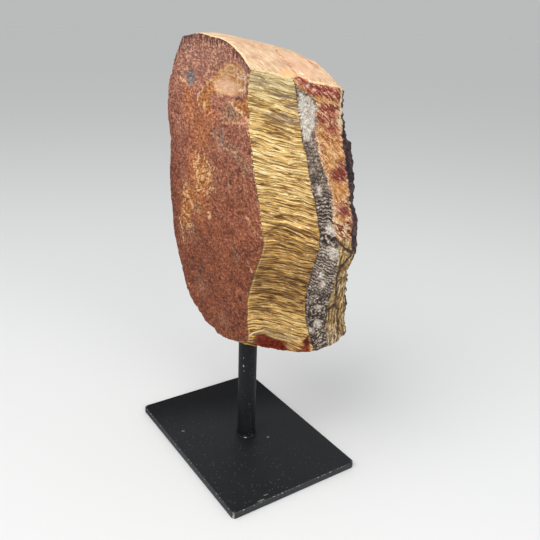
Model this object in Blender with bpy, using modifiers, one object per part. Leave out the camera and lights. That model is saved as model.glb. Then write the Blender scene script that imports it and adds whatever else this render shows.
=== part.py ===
# Rough tiger's eye on a black metal stand: a base plate, a round post, and the stone on the post's end.
# Metres, +Z up. The origin is the centre of the plate's underside, and +X runs along its long side.
# The stone's red jasper face looks towards -Y. Its layers lie one behind another towards +Y, and the
# +X face cuts across them: jasper skin, golden fibres, a quartz seam, orange stone, dark ironstone crust.

import math

import bmesh
import bpy
import numpy as np
from mathutils import Matrix, Vector, noise

OBJECT_NAME = "tigers_eye_on_stand"

# Stand, and the gap and the tolerances of all the pieces
PLATE_LENGTH = 0.150
PLATE_WIDTH = 0.106
PLATE_THICKNESS = 0.005
PLATE_CORNER_RADIUS = 0.003
PLATE_CORNER_STEPS = 4
PLATE_EDGE_BEVEL = 0.0006
PLATE_EDGE_STEPS = 2
POST_PLACE = (0.0020, 0.0017)  # welded a little off the plate's centre
POST_RADIUS = 0.007
POST_TOP = 0.130
POST_CHAMFER = 0.0008
POST_SIDES = 40
WELD_SIZE = 0.0014
WELD_STEPS = 3
TOUCH_GAP = 0.0003
MERGE_DISTANCE = 0.00001
GRID_TOLERANCE = 0.000001

# The jasper face's plane, and its outline as (x, z), each side from its left or lower end
JASPER_Y = -0.032
OUTLINE_BOTTOM = ((-0.037, 0.127), (-0.0215, 0.1195), (-0.004, 0.112), (0.012, 0.109), (0.035, 0.1125),
                  (0.053, 0.1205))
OUTLINE_TOP = ((-0.040, 0.293), (-0.031, 0.3005), (-0.020, 0.304), (-0.004, 0.3045), (0.012, 0.303),
               (0.027, 0.3005), (0.040, 0.2955), (0.052, 0.288))
OUTLINE_LEFT = ((-0.037, 0.127), (-0.047, 0.143), (-0.0570, 0.161), (-0.0620, 0.184), (-0.0645, 0.204),
                (-0.0615, 0.230), (-0.0645, 0.252), (-0.0615, 0.267), (-0.052, 0.282), (-0.040, 0.293))
OUTLINE_RIGHT = ((0.053, 0.1205), (0.0508, 0.134), (0.052, 0.146), (0.058, 0.165), (0.0655, 0.182),
                 (0.0688, 0.192), (0.0665, 0.204), (0.061, 0.221), (0.0545, 0.243), (0.0495, 0.260),
                 (0.0485, 0.274), (0.052, 0.288))

# Where each layer ends, as (height on the jasper face, y)
SEAM_FRONT = ((0.118, 0.0260), (0.128, 0.0220), (0.140, 0.0165), (0.164, 0.0135), (0.200, 0.0170),
              (0.248, 0.0145), (0.270, 0.0100), (0.287, 0.0000))
SEAM_BACK = ((0.118, 0.0360), (0.140, 0.0300), (0.207, 0.0270), (0.221, 0.0305), (0.236, 0.0285),
             (0.258, 0.0230), (0.275, 0.0200), (0.288, 0.0090))
CRUST = ((0.120, 0.0540), (0.137, 0.0555), (0.145, 0.0545), (0.163, 0.0495), (0.175, 0.0450),
         (0.186, 0.0420), (0.196, 0.0450), (0.211, 0.0480), (0.233, 0.0475), (0.243, 0.0500),
         (0.262, 0.0465), (0.272, 0.0440), (0.284, 0.0395), (0.292, 0.0380))
CRUST_TAPER = 0.08  # the slab thins towards its left end
FALL = ((0.110, 0.36), (0.288, 0.22))  # the layers drop towards +Y, as (height, slope)

# Grid across the stone, as (start, end, cells) in fractions of each direction
SEAM_FRONT_SHARE = 0.50
SEAM_BACK_SHARE = 0.66
CELLS_ALONG = ((0.0, 0.08, 3), (0.08, 0.94, 18), (0.94, 1.0, 2))
CELLS_DEEP = ((0.0, 0.04, 1), (0.04, SEAM_FRONT_SHARE, 6), (SEAM_FRONT_SHARE, SEAM_BACK_SHARE, 3),
              (SEAM_BACK_SHARE, 0.93, 4), (0.93, 1.0, 2))
CELLS_UP = ((0.0, 0.04, 2), (0.04, 0.97, 38), (0.97, 1.0, 1))

# Rounded ends of the slab
LEFT_RIM_SHARE = 0.08
LEFT_RIM_DEPTH = 0.007
CRUST_ROUND_START = 0.90
CRUST_ROUND_DEPTH = 0.003
LEFT_BULGE = 0.006
LEFT_BULGE_POWER = 4
HEEL_START = 0.032  # the underside turns up behind this y
HEEL_LENGTH = 0.019
HEEL_LIFT = 0.0125
KEEL_DROP = 0.0055  # it hangs lower under the golden fibres
CROWN_LIFT = 0.0044  # the top stands higher than the jasper's edge
CROWN_POWER_ALONG = 5
CROWN_POWER_DEEP = 4
END_POWER = 6  # how soon the top's and the underside's own shapes fade out along the slab's height

# Scars on the jasper face, as (x, z), half sizes, depth
JASPER_SCARS = (((0.026, 0.277), (0.025, 0.013), 0.0042), ((0.041, 0.263), (0.012, 0.007), 0.0026),
                ((0.018, 0.262), (0.016, 0.009), 0.0018), ((-0.021, 0.276), (0.007, 0.011), 0.0020),
                ((-0.015, 0.238), (0.011, 0.030), 0.0020), ((-0.002, 0.219), (0.009, 0.014), 0.0022),
                ((-0.028, 0.184), (0.009, 0.024), 0.0020))
JASPER_LEDGE_HEIGHT = 0.2565  # below it, from this x on, the face stands proud of the scars
JASPER_LEDGE_X = (0.014, 0.024)
JASPER_LEDGE_DEPTH = 0.0014
JASPER_LEDGE_FADE = 0.012

# Relief of the other faces
SEAM_GROOVE = 0.0013
FIBRE_RIDGE = 0.0008
FIBRE_RIDGE_SIZE = (0.050, 0.050, 0.009)
LEDGE_HEIGHT = 0.1435
LEDGE_HALF_STEP = 0.003
LEDGE_FOOT = (0.100, 0.120)
LEDGE_PROUD = 0.0012
ORANGE_LUMP = 0.0016
ORANGE_LUMP_SIZE = 0.012
CHIP_CENTRE = (-0.009, 0.115)  # the conchoidal chip at the foot of the banded face, as (y, height)
CHIP_SIZE = (0.023, 0.013)
CHIP_DEPTH = 0.008
CRACK_DEPTH = 0.0009
CRUST_LUMP = 0.0032
CRUST_LUMP_SIZE = 0.016
CRUST_SWELL = 0.0016
CRUST_SWELL_SIZE = 0.030
BROKEN_STEP = 0.034
BROKEN_STEP_DEPTH = 0.0034
BROKEN_BEND = 0.6
BROKEN_BEND_SIZE = 0.035
BROKEN_LUMP = 0.0012
BROKEN_LUMP_SIZE = 0.011
TOP_LUMP = 0.0008
TOP_LUMP_SIZE = 0.018
UNDERSIDE_LUMP = 0.0016
UNDERSIDE_LUMP_SIZE = 0.016
ROUGHNESS = 0.00045
ROUGHNESS_SIZE = 0.013
LAYER_EDGE = 0.001  # a grid face this close to a side belongs to it, as a share
CRUST_SHARE = 0.95  # deeper than this the stone is crust

STONE_LAYERS = (("red_jasper", (0.30, 0.085, 0.055), 0.75), ("golden_fibres", (0.50, 0.32, 0.12), 0.5),
                ("quartz_seam", (0.42, 0.39, 0.36), 0.45), ("orange_stone", (0.45, 0.17, 0.06), 0.65),
                ("ironstone_crust", (0.07, 0.05, 0.05), 0.7), ("peach_top", (0.66, 0.40, 0.25), 0.65))
COAT_COLOUR = (0.022, 0.023, 0.025)
COAT_ROUGHNESS = 0.45


def curve_through(points, knots=None):
    """Smooth curve through the points, as a function of the knots or of the share of its length."""
    places = np.array(points, float)
    if knots is None:
        steps = np.linalg.norm(np.diff(places, axis=0), axis=1)
        knots = np.append(0.0, np.cumsum(steps)) / steps.sum()
    knots = np.array(knots, float)
    slopes = np.gradient(places, knots, axis=0)

    def at(where):
        where = min(max(where, knots[0]), knots[-1])
        i = min(max(np.searchsorted(knots, where) - 1, 0), len(knots) - 2)
        span = knots[i + 1] - knots[i]
        t = (where - knots[i]) / span
        ends = (1 + 2 * t) * (1 - t) ** 2 * places[i] + t * t * (3 - 2 * t) * places[i + 1]
        return ends + span * (t * (1 - t) ** 2 * slopes[i] + t * t * (t - 1) * slopes[i + 1])

    return at


def profile(pairs):
    """Smooth value through (knot, value) pairs."""
    knots, values = zip(*pairs)
    return curve_through(values, knots)


bottom_curve, top_curve = curve_through(OUTLINE_BOTTOM), curve_through(OUTLINE_TOP)
left_curve, right_curve = curve_through(OUTLINE_LEFT), curve_through(OUTLINE_RIGHT)
seam_front_y, seam_back_y, crust_y = profile(SEAM_FRONT), profile(SEAM_BACK), profile(CRUST)


def smooth_step(start, end, value):
    t = min(max((value - start) / (end - start), 0.0), 1.0)
    return t * t * (3 - 2 * t)


def grid_fractions(cells):
    """The inner grid lines of a direction, from its (start, end, cells) stretches."""
    lines = [start + (end - start) * i / count for start, end, count in cells for i in range(count)]
    return lines[1:]


def outline_point(along, up):
    """A point inside the jasper outline, blended from its four sides, as (x, height)."""
    low, high = np.array(OUTLINE_BOTTOM), np.array(OUTLINE_TOP)
    across = (1 - up) * bottom_curve(along) + up * top_curve(along)
    upright = (1 - along) * left_curve(up) + along * right_curve(up)
    low_chord = (1 - along) * low[0] + along * low[-1]
    high_chord = (1 - along) * high[0] + along * high[-1]
    return across + upright - (1 - up) * low_chord - up * high_chord


def slab_point(along, deep, up):
    """A point of the stone before its layers drop: x, y and the height it has on the jasper face."""
    x, height = outline_point(along, up)
    rim = LEFT_RIM_DEPTH * max(0.0, 1 - along / LEFT_RIM_SHARE) ** 2
    back = crust_y(height) - CRUST_TAPER * (right_curve(up)[0] - x)
    layers = (JASPER_Y + rim, seam_front_y(height), seam_back_y(height), back)
    y = np.interp(deep, (0.0, SEAM_FRONT_SHARE, SEAM_BACK_SHARE, 1.0), layers)
    rounding = CRUST_ROUND_DEPTH * max(0.0, (deep - CRUST_ROUND_START) / (1 - CRUST_ROUND_START)) ** 2
    x -= (2 * along - 1) * rounding
    x -= (1 - along) ** LEFT_BULGE_POWER * LEFT_BULGE * math.sin(math.pi * deep)
    heel = HEEL_LIFT * max(0.0, (y - HEEL_START) / HEEL_LENGTH) ** 2
    keel = KEEL_DROP * along * math.sin(math.pi * min(deep / SEAM_BACK_SHARE, 1.0))
    front_edge = along ** CROWN_POWER_ALONG * (1 - deep ** CROWN_POWER_DEEP)
    crown = CROWN_LIFT * (1 - front_edge) * (1 - (1 - deep) ** CROWN_POWER_DEEP)
    height += (1 - up) ** END_POWER * (heel - keel) + up ** END_POWER * (crown - rounding)
    return Vector((x, y, height))


def dropped(place):
    """The slab's point where it really lies, with its layers dropping towards +Y."""
    heights, slopes = zip(*FALL)
    slope = np.interp(place.z, heights, slopes)
    return Vector((place.x, place.y, place.z - slope * (place.y - JASPER_Y)))


def dish(where, centre, size, depth):
    """Depth of a bowl-shaped scar at a point of a face."""
    spread = ((where[0] - centre[0]) / size[0]) ** 2 + ((where[1] - centre[1]) / size[1]) ** 2
    return depth * max(0.0, 1 - spread)


def lump(place, height, size):
    """Even lumps of the given height and size, as the shift of a point."""
    return height * noise.noise(place / size)


def jasper_relief(place):
    """The -Y face: shallow scars, and a level ledge at the foot of the upper ones."""
    depth = sum(dish((place.x, place.z), *scar) for scar in JASPER_SCARS)
    above = place.z - JASPER_LEDGE_HEIGHT
    if above > 0:
        fade = max(0.0, 1 - above / JASPER_LEDGE_FADE)
        depth += JASPER_LEDGE_DEPTH * fade * smooth_step(*JASPER_LEDGE_X, place.x)
    return Vector((0, depth, 0))


def banded_relief(place, deep):
    """The +X face: fibre ridges, a groove at the seam, a low ledge, lumpy orange stone and the chip."""
    inward = dish((place.y, place.z), CHIP_CENTRE, CHIP_SIZE, CHIP_DEPTH)
    ledge = smooth_step(LEDGE_HEIGHT + LEDGE_HALF_STEP, LEDGE_HEIGHT - LEDGE_HALF_STEP, place.z)
    inward -= LEDGE_PROUD * ledge * smooth_step(*LEDGE_FOOT, place.z)
    if deep < SEAM_FRONT_SHARE:
        stretched = [coordinate / size for coordinate, size in zip(place, FIBRE_RIDGE_SIZE)]
        inward += FIBRE_RIDGE * noise.noise(stretched)
    elif deep < SEAM_BACK_SHARE:
        inward += SEAM_GROOVE
    else:
        inward += lump(place, ORANGE_LUMP, ORANGE_LUMP_SIZE)
    return Vector((-inward, 0, 0))


def crust_relief(place):
    """The +Y face: rounded lumps of ironstone with pits between them."""
    nearest = noise.voronoi(place / CRUST_LUMP_SIZE)[0][0]
    return Vector((0, CRUST_LUMP * (0.5 - nearest) + lump(place, CRUST_SWELL, CRUST_SWELL_SIZE), 0))


def broken_relief(place):
    """The -X face: broken in steps that follow the layers' drop."""
    step = place.z / BROKEN_STEP + lump(place, BROKEN_BEND, BROKEN_BEND_SIZE)
    ledge = BROKEN_STEP_DEPTH * (step - math.floor(step))
    return Vector((-ledge - lump(place, BROKEN_LUMP, BROKEN_LUMP_SIZE), 0, 0))


def top_relief(place, deep):
    """The top: gently uneven, with a crack where the quartz seam begins."""
    crack = CRACK_DEPTH if deep == SEAM_FRONT_SHARE else 0.0
    return Vector((0, 0, lump(place, TOP_LUMP, TOP_LUMP_SIZE) - crack))


def underside_relief(place):
    return Vector((0, 0, lump(place, UNDERSIDE_LUMP, UNDERSIDE_LUMP_SIZE)))


def relief(along, deep, up, place):
    """The faces' own relief at a point of the skin. A point on an edge takes both faces' share."""
    shift = Vector((0, 0, 0))
    if deep == 0.0:
        shift += jasper_relief(place)
    if along == 1.0:
        shift += banded_relief(place, deep)
    if deep == 1.0:
        shift += crust_relief(place)
    if along == 0.0:
        shift += broken_relief(place)
    if up == 1.0:
        shift += top_relief(place, deep)
    if up == 0.0:
        shift += underside_relief(place)
    return shift


def cut_block(directions):
    """Unit block with grid lines across each of its three directions."""
    block = bmesh.new()
    bmesh.ops.create_cube(block, size=1.0, matrix=Matrix.Translation((0.5, 0.5, 0.5)))
    for axis, cells in enumerate(directions):
        normal = Vector((0, 0, 0))
        normal[axis] = 1.0
        for fraction in grid_fractions(cells):
            whole = block.verts[:] + block.edges[:] + block.faces[:]
            bmesh.ops.bisect_plane(block, geom=whole, plane_co=normal * fraction, plane_no=normal,
                                   dist=GRID_TOLERANCE)
    return block


def layer_of(face):
    """The number of the stone's layer that a grid face belongs to, from its middle in fractions."""
    along, deep, up = face.calc_center_median()
    names = [name for name, colour, roughness in STONE_LAYERS]
    if deep < LAYER_EDGE:
        return names.index("red_jasper")
    if deep > CRUST_SHARE:
        return names.index("ironstone_crust")
    if up > 1 - LAYER_EDGE:
        return names.index("peach_top")
    if deep < SEAM_FRONT_SHARE:
        return names.index("golden_fibres")
    return names.index("quartz_seam" if deep < SEAM_BACK_SHARE else "orange_stone")


def new_material(name, colour, roughness, metallic=0.0):
    material = bpy.data.materials.new(name)
    material.use_nodes = True
    shader = material.node_tree.nodes["Principled BSDF"]
    shader.inputs["Base Color"].default_value = (*colour, 1.0)
    shader.inputs["Roughness"].default_value = roughness
    shader.inputs["Metallic"].default_value = metallic
    material.diffuse_color = (*colour, 1.0)
    return material


def new_object(name, mesh_source, collection):
    """Object made from a bmesh, in the given collection."""
    mesh = bpy.data.meshes.new(name)
    mesh_source.to_mesh(mesh)
    mesh_source.free()
    obj = bpy.data.objects.new(name, mesh)
    collection.objects.link(obj)
    return obj


def make_stone(collection, cutter):
    block = cut_block((CELLS_ALONG, CELLS_DEEP, CELLS_UP))
    for face in block.faces:
        face.material_index = layer_of(face)
    for vert in block.verts:
        along, deep, up = (round(share, 5) for share in vert.co)
        place = slab_point(along, deep, up)
        vert.co = dropped(place + relief(along, deep, up, place))
    block.normal_update()
    shifts = [vert.normal * lump(vert.co, ROUGHNESS, ROUGHNESS_SIZE) for vert in block.verts]
    for vert, shift in zip(block.verts, shifts):
        vert.co += shift
    bmesh.ops.triangulate(block, faces=block.faces[:], quad_method="BEAUTY")
    stone = new_object("tigers_eye_stone", block, collection)
    for name, colour, roughness in STONE_LAYERS:
        stone.data.materials.append(new_material(name, colour, roughness))
    drilled = stone.modifiers.new("post_hole", "BOOLEAN")
    drilled.operation = "DIFFERENCE"
    drilled.solver = "EXACT"
    drilled.object = cutter
    return stone


def make_hole_cutter(collection):
    """The drilled hole in the stone's underside, which takes the post's end."""
    rod = bmesh.new()
    top, low = POST_TOP + TOUCH_GAP, POST_TOP / 2
    middle = Matrix.Translation((*POST_PLACE, (top + low) / 2))
    radius = POST_RADIUS + TOUCH_GAP
    bmesh.ops.create_cone(rod, cap_ends=True, segments=POST_SIDES, radius1=radius, radius2=radius,
                          depth=top - low, matrix=middle)
    cutter = new_object("post_hole_cutter", rod, collection)
    cutter.hide_render = True
    cutter.display_type = "WIRE"
    return cutter


def post_profile():
    """The post's outer side from top to foot, as (radius, z): a chamfered end, and a weld at the foot."""
    foot = PLATE_THICKNESS + TOUCH_GAP
    side = [(0.0, POST_TOP), (POST_RADIUS - POST_CHAMFER, POST_TOP), (POST_RADIUS, POST_TOP - POST_CHAMFER)]
    for i in range(WELD_STEPS + 1):
        turn = math.radians(90 * i / WELD_STEPS)
        reach = WELD_SIZE * (1 - math.cos(turn))
        side.append((POST_RADIUS + reach, foot + WELD_SIZE * (1 - math.sin(turn))))
    side.append((0.0, foot))
    return side


def make_post(collection, material):
    line = bmesh.new()
    points = [line.verts.new((radius, 0, z)) for radius, z in post_profile()]
    for start, end in zip(points, points[1:]):
        line.edges.new((start, end))
    post = new_object("stand_post", line, collection)
    post.location = (*POST_PLACE, 0)
    turned = post.modifiers.new("turned", "SCREW")
    turned.steps = turned.render_steps = POST_SIDES
    turned.use_merge_vertices = True
    turned.merge_threshold = MERGE_DISTANCE
    turned.use_smooth_shade = True
    post.data.materials.append(material)
    return post


def make_plate(collection, material):
    block = bmesh.new()
    size = Vector((PLATE_LENGTH, PLATE_WIDTH, PLATE_THICKNESS))
    bmesh.ops.create_cube(block, size=1.0)
    bmesh.ops.scale(block, vec=size, verts=block.verts)
    bmesh.ops.translate(block, vec=(0, 0, PLATE_THICKNESS / 2), verts=block.verts)
    upright = [e for e in block.edges if abs(e.verts[0].co.z - e.verts[1].co.z) > PLATE_THICKNESS / 2]
    bmesh.ops.bevel(block, geom=upright, offset=PLATE_CORNER_RADIUS, segments=PLATE_CORNER_STEPS,
                    profile=0.5, affect="EDGES")
    plate = new_object("base_plate", block, collection)
    eased = plate.modifiers.new("eased_edges", "BEVEL")
    eased.width = PLATE_EDGE_BEVEL
    eased.segments = PLATE_EDGE_STEPS
    eased.limit_method = "ANGLE"
    eased.angle_limit = math.radians(50)
    plate.data.materials.append(material)
    return plate


def main():
    for old in list(bpy.data.objects):
        bpy.data.objects.remove(old)
    parts = bpy.data.collections.new(OBJECT_NAME)
    cutters = bpy.data.collections.new("cutters")
    for collection in (parts, cutters):
        bpy.context.scene.collection.children.link(collection)
    make_plate(parts, new_material("black_plate_coat", COAT_COLOUR, COAT_ROUGHNESS))
    make_post(parts, new_material("black_post_coat", COAT_COLOUR, COAT_ROUGHNESS))
    make_stone(parts, make_hole_cutter(cutters))


main()
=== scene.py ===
# Rough tiger's eye slab on its black metal stand, in a pale studio
import functools
import math
import types

import bmesh
import bpy
import numpy as np
from mathutils import Matrix, Vector, kdtree, noise


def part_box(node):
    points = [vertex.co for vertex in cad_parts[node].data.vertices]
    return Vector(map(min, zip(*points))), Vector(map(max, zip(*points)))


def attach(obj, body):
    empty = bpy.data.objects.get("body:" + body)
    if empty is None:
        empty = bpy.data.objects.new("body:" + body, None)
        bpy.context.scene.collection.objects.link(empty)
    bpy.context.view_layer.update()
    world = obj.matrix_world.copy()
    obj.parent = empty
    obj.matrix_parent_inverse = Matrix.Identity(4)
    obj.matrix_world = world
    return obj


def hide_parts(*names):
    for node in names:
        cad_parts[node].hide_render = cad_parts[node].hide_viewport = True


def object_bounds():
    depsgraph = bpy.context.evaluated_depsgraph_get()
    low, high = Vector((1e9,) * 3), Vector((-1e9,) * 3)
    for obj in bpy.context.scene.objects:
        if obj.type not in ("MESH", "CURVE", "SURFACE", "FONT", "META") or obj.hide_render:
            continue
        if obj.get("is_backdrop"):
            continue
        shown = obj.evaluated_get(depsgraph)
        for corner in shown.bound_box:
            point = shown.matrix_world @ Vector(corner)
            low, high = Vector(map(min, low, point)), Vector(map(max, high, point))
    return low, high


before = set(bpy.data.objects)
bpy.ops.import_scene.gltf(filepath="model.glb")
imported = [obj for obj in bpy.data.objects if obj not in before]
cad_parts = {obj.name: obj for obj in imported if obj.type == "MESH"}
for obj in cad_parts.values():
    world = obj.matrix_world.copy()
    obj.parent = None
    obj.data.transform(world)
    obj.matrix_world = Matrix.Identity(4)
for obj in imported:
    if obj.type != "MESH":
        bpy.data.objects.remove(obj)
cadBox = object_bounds()
print("frame loaded")

mm = 0.001
postPlace = (2.0, 1.7)
scene = bpy.context.scene

# the camera stands at the photograph's viewing angle
cameraSetup = {
    "place": (0.36261, -0.22453, 0.31055),
    "turn": 55.90,
    "down": 21.198,
    "roll": 1.887,
    "lens": 42.147,
    "sensor": 36.0,
}


def addCamera(setup):
    cameraData = bpy.data.cameras.new("specimenCamera")
    cameraData.lens = setup["lens"]
    cameraData.sensor_width = setup["sensor"]
    cameraData.clip_start = 0.01
    camera = bpy.data.objects.new("specimenCamera", cameraData)
    turned = Matrix.Rotation(math.radians(setup["turn"]), 4, "Z")
    tipped = Matrix.Rotation(math.radians(90 - setup["down"]), 4, "X")
    rolled = Matrix.Rotation(math.radians(setup["roll"]), 4, "Z")
    camera.matrix_world = Matrix.Translation(setup["place"]) @ turned @ tipped @ rolled
    scene.collection.objects.link(camera)
    scene.camera = camera


addCamera(cameraSetup)
print("camera placed")


# a shader socket that can be added, multiplied and so on; each such step makes a math node
class Value:
    def __init__(self, socket):
        self.socket = socket

    def __add__(self, other):
        return calc("ADD", self, other)

    def __radd__(self, other):
        return calc("ADD", other, self)

    def __sub__(self, other):
        return calc("SUBTRACT", self, other)

    def __rsub__(self, other):
        return calc("SUBTRACT", other, self)

    def __mul__(self, other):
        return calc("MULTIPLY", self, other)

    def __truediv__(self, other):
        return calc("DIVIDE", self, other)

    def __abs__(self):
        return calc("ABSOLUTE", self)


def plug(socket, value):
    # a socket gets a link from another socket, or a plain value
    if isinstance(value, Value):
        socket.id_data.links.new(value.socket, socket)
    elif isinstance(value, (tuple, list)) and socket.type == "RGBA" and len(value) == 3:
        socket.default_value = (*value, 1.0)
    else:
        socket.default_value = value


def addNode(tree, kind, links=None, **settings):
    node = tree.nodes.new(kind)
    for name, value in settings.items():
        setattr(node, name, value)
    for socket, value in (links or {}).items():
        plug(node.inputs[socket], value)
    return node


def made(kind, links, output=0, **settings):
    # one output of a new node, in the tree that its first linked value comes from
    tree = next(value.socket.id_data for value in links.values() if isinstance(value, Value))
    return Value(addNode(tree, kind, links, **settings).outputs[output])


def calc(operation, first, second=0.5, clamp=False):
    return made("ShaderNodeMath", {0: first, 1: second}, operation=operation, use_clamp=clamp)


def largest(*values):
    return functools.reduce(functools.partial(calc, "MAXIMUM"), values)


def smallest(*values):
    return functools.reduce(functools.partial(calc, "MINIMUM"), values)


def clamped(value):
    return calc("ADD", value, 0.0, True)


def mixed(factor, first, second, blend="MIX"):
    return made("ShaderNodeMix", {0: factor, 6: first, 7: second}, 2, data_type="RGBA", blend_type=blend)


def blended(factor, first, second):
    return made("ShaderNodeMix", {0: factor, 2: first, 3: second})


def ranged(value, start, end, low=0.0, high=1.0):
    # 0 to 1 as the value goes from start to end, with soft ends
    return made("ShaderNodeMapRange", dict(enumerate((value, start, end, low, high))),
                interpolation_type="SMOOTHSTEP")


def ramped(value, stops):
    ramp = made("ShaderNodeValToRGB", {"Fac": value})
    points = ramp.socket.node.color_ramp.elements
    for place, colour in stops[2:]:
        points.new(place)
    for point, (place, colour) in zip(points, stops):
        point.position = place
        point.color = (*colour, 1.0)
    return ramp


def scaled(vector, sizes):
    # the position divided by one size, or by a size for each axis
    sizes = sizes if isinstance(sizes, tuple) else (sizes,) * 3
    return made("ShaderNodeVectorMath", {0: vector, 1: tuple(1 / size for size in sizes)},
                operation="MULTIPLY")


def noisy(vector, sizes, detail=2.0, roughness=0.5, distortion=0.0):
    return made("ShaderNodeTexNoise", {"Vector": scaled(vector, sizes), "Scale": 1.0, "Detail": detail,
                                       "Roughness": roughness, "Distortion": distortion}, "Fac")


def cellular(vector, sizes, output="Distance"):
    return made("ShaderNodeTexVoronoi", {"Vector": scaled(vector, sizes), "Scale": 1.0}, output)


def bumped(height, strength, distance):
    return made("ShaderNodeBump", {"Strength": strength, "Distance": distance * mm, "Height": height})


def joined(x, y, z):
    return made("ShaderNodeCombineXYZ", {0: x, 1: y, 2: z})


def partsOf(colour):
    node = addNode(colour.socket.id_data, "ShaderNodeSeparateColor", {0: colour})
    return [Value(output) for output in node.outputs]


def axesOf(vector):
    node = addNode(vector.socket.id_data, "ShaderNodeSeparateXYZ", {0: vector})
    return [Value(output) for output in node.outputs]


def positionInMm(tree):
    return scaled(Value(addNode(tree, "ShaderNodeTexCoord").outputs["Object"]), mm)


def surfaceData(tree, name):
    # the four parts of a painted vertex attribute
    node = addNode(tree, "ShaderNodeAttribute", attribute_name=name)
    return (*partsOf(Value(node.outputs["Color"])), Value(node.outputs["Alpha"]))


def newMaterial(name):
    material = bpy.data.materials.new(name)
    material.use_nodes = True
    return material, material.node_tree, material.node_tree.nodes["Principled BSDF"]


def meshFrom(work, name):
    mesh = bpy.data.meshes.new(name)
    work.to_mesh(mesh)
    work.free()
    return mesh


def placed(name, mesh, material):
    piece = bpy.data.objects.new(name, mesh)
    scene.collection.objects.link(piece)
    mesh.materials.append(material)
    return piece


# how the solid's surface is cut finer and rounded off; lengths in metres, angles in degrees
stoneBuild = {
    "rowCuts": {"jasper": 6, "banded": 6, "crust": 3, "broken": 3, "top": 3, "under": 3},
    "alongCuts": {"jasper": 4, "crust": 3, "top": 3, "under": 3},
    "deepCuts": {"banded": 3, "broken": 3, "top": 3, "under": 3},
    "weldWithin": 0.01 * mm,
    "longestEdge": 2.4 * mm,
    "sharpAngle": 40,
    "smoothRounds": 10,
    "edgeRounds": 8,
    "keepCorner": 26,
    "holeRadius": 7.6 * mm,
    "holeTop": 131 * mm,
    "topFrom": 240 * mm,
    "crustFrom": 15 * mm,
}
sideNames = ("banded", "broken", "crust", "jasper", "top", "under")
sideNormals = ((1, 0, 0), (-1, 0, 0), (0, 1, 0), (0, -1, 0), (0, 0, 1), (0, 0, -1))


def sideOf(face, build):
    # which side of the slab a face belongs to; the post hole counts as underside
    middle = face.calc_center_median()
    fromPost = math.hypot(middle.x - postPlace[0] * mm, middle.y - postPlace[1] * mm)
    if fromPost < build["holeRadius"] and middle.z < build["holeTop"]:
        return sideNames.index("under")
    facing = [face.normal.dot(Vector(normal)) for normal in sideNormals]
    if middle.z < build["topFrom"]:
        facing[sideNames.index("top")] = -1
    if middle.y < build["crustFrom"]:
        facing[sideNames.index("crust")] = -1
    return facing.index(max(facing))


def cutGrid(stone, axis, cutsBySide):
    # new grid lines across the edges that run along one axis, as many as the edge's sides ask for
    groups = {}
    for edge in stone.edges:
        run = edge.verts[1].co - edge.verts[0].co
        lengths = [abs(part) for part in run]
        if lengths.index(max(lengths)) == axis:
            cuts = max(cutsBySide.get(sideNames[face.material_index], 0) for face in edge.link_faces)
            groups.setdefault(cuts, []).append(edge)
    for cuts, edges in groups.items():
        if cuts:
            bmesh.ops.subdivide_edges(stone, edges=edges, cuts=cuts, use_grid_fill=True)


def refineStone(build):
    # a merged copy of the solid, with its grid made fine enough for grain and fibres
    stone = bmesh.new()
    stone.from_mesh(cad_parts["tigers_eye_stone"].data)
    bmesh.ops.remove_doubles(stone, verts=stone.verts, dist=build["weldWithin"])
    wide = math.radians(60)
    bmesh.ops.join_triangles(stone, faces=stone.faces[:], angle_face_threshold=wide,
                             angle_shape_threshold=wide)
    for face in stone.faces:
        face.material_index = sideOf(face, build)
    cutGrid(stone, 2, build["rowCuts"])
    cutGrid(stone, 0, build["alongCuts"])
    cutGrid(stone, 1, build["deepCuts"])
    for tries in range(3):
        bmesh.ops.triangulate(stone, faces=[face for face in stone.faces if len(face.verts) > 4])
        long = [edge for edge in stone.edges if edge.calc_length() > build["longestEdge"]]
        bmesh.ops.subdivide_edges(stone, edges=long, cuts=1, use_grid_fill=True)
    bmesh.ops.triangulate(stone, faces=stone.faces[:])
    stone.normal_update()
    return stone


def smoothStone(stone, build):
    # the solid's flat facets are rounded off, and its sharp edges stay as lines
    limit = math.radians(build["sharpAngle"])
    onEdge = {}
    for edge in stone.edges:
        if edge.calc_face_angle(0) > limit:
            for here, there in (edge.verts, reversed(edge.verts)):
                onEdge.setdefault(here, []).append(there)
    inside = [vert for vert in stone.verts if vert not in onEdge]
    for turn in range(build["smoothRounds"]):
        bmesh.ops.smooth_vert(stone, verts=inside, factor=0.5, use_axis_x=True, use_axis_y=True,
                              use_axis_z=True)
    corner = math.radians(build["keepCorner"])
    lines = {vert: ends for vert, ends in onEdge.items() if len(ends) == 2
             and (ends[0].co - vert.co).angle(vert.co - ends[1].co, 0) < corner}
    for turn in range(build["edgeRounds"]):
        middles = {vert: (ends[0].co + ends[1].co) / 2 for vert, ends in lines.items()}
        for vert, middle in middles.items():
            vert.co = vert.co.lerp(middle, 0.5)


stone = refineStone(stoneBuild)
smoothStone(stone, stoneBuild)
stoneMesh = meshFrom(stone, "tigersEyeRough")
print("stone refined:", len(stoneMesh.polygons), "faces")


# numpy helpers; fields hold one value for each vertex, lengths are in millimetres
def readVectors(collection, name):
    values = np.zeros(len(collection) * 3, np.float32)
    collection.foreach_get(name, values)
    return values.reshape(-1, 3).astype(float)


def fade(values, start, end):
    # 0 at start and 1 at end, with soft ends
    share = np.clip((values - start) / (end - start), 0, 1)
    return share * share * (3 - 2 * share)


def noiseAt(points, sizes, seed):
    # even noise, about -1 to 1, with lumps of the given sizes along the three axes
    moved = (points / np.array(sizes) + seed).tolist()
    return np.array([noise.noise(place) for place in moved]) * 1.6


def lumpsAt(points, sizes, seed):
    # distance to the nearest of many scattered points, in lumps
    moved = (points / np.array(sizes) + seed).tolist()
    return np.array([noise.voronoi(place)[0][0] for place in moved])


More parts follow.
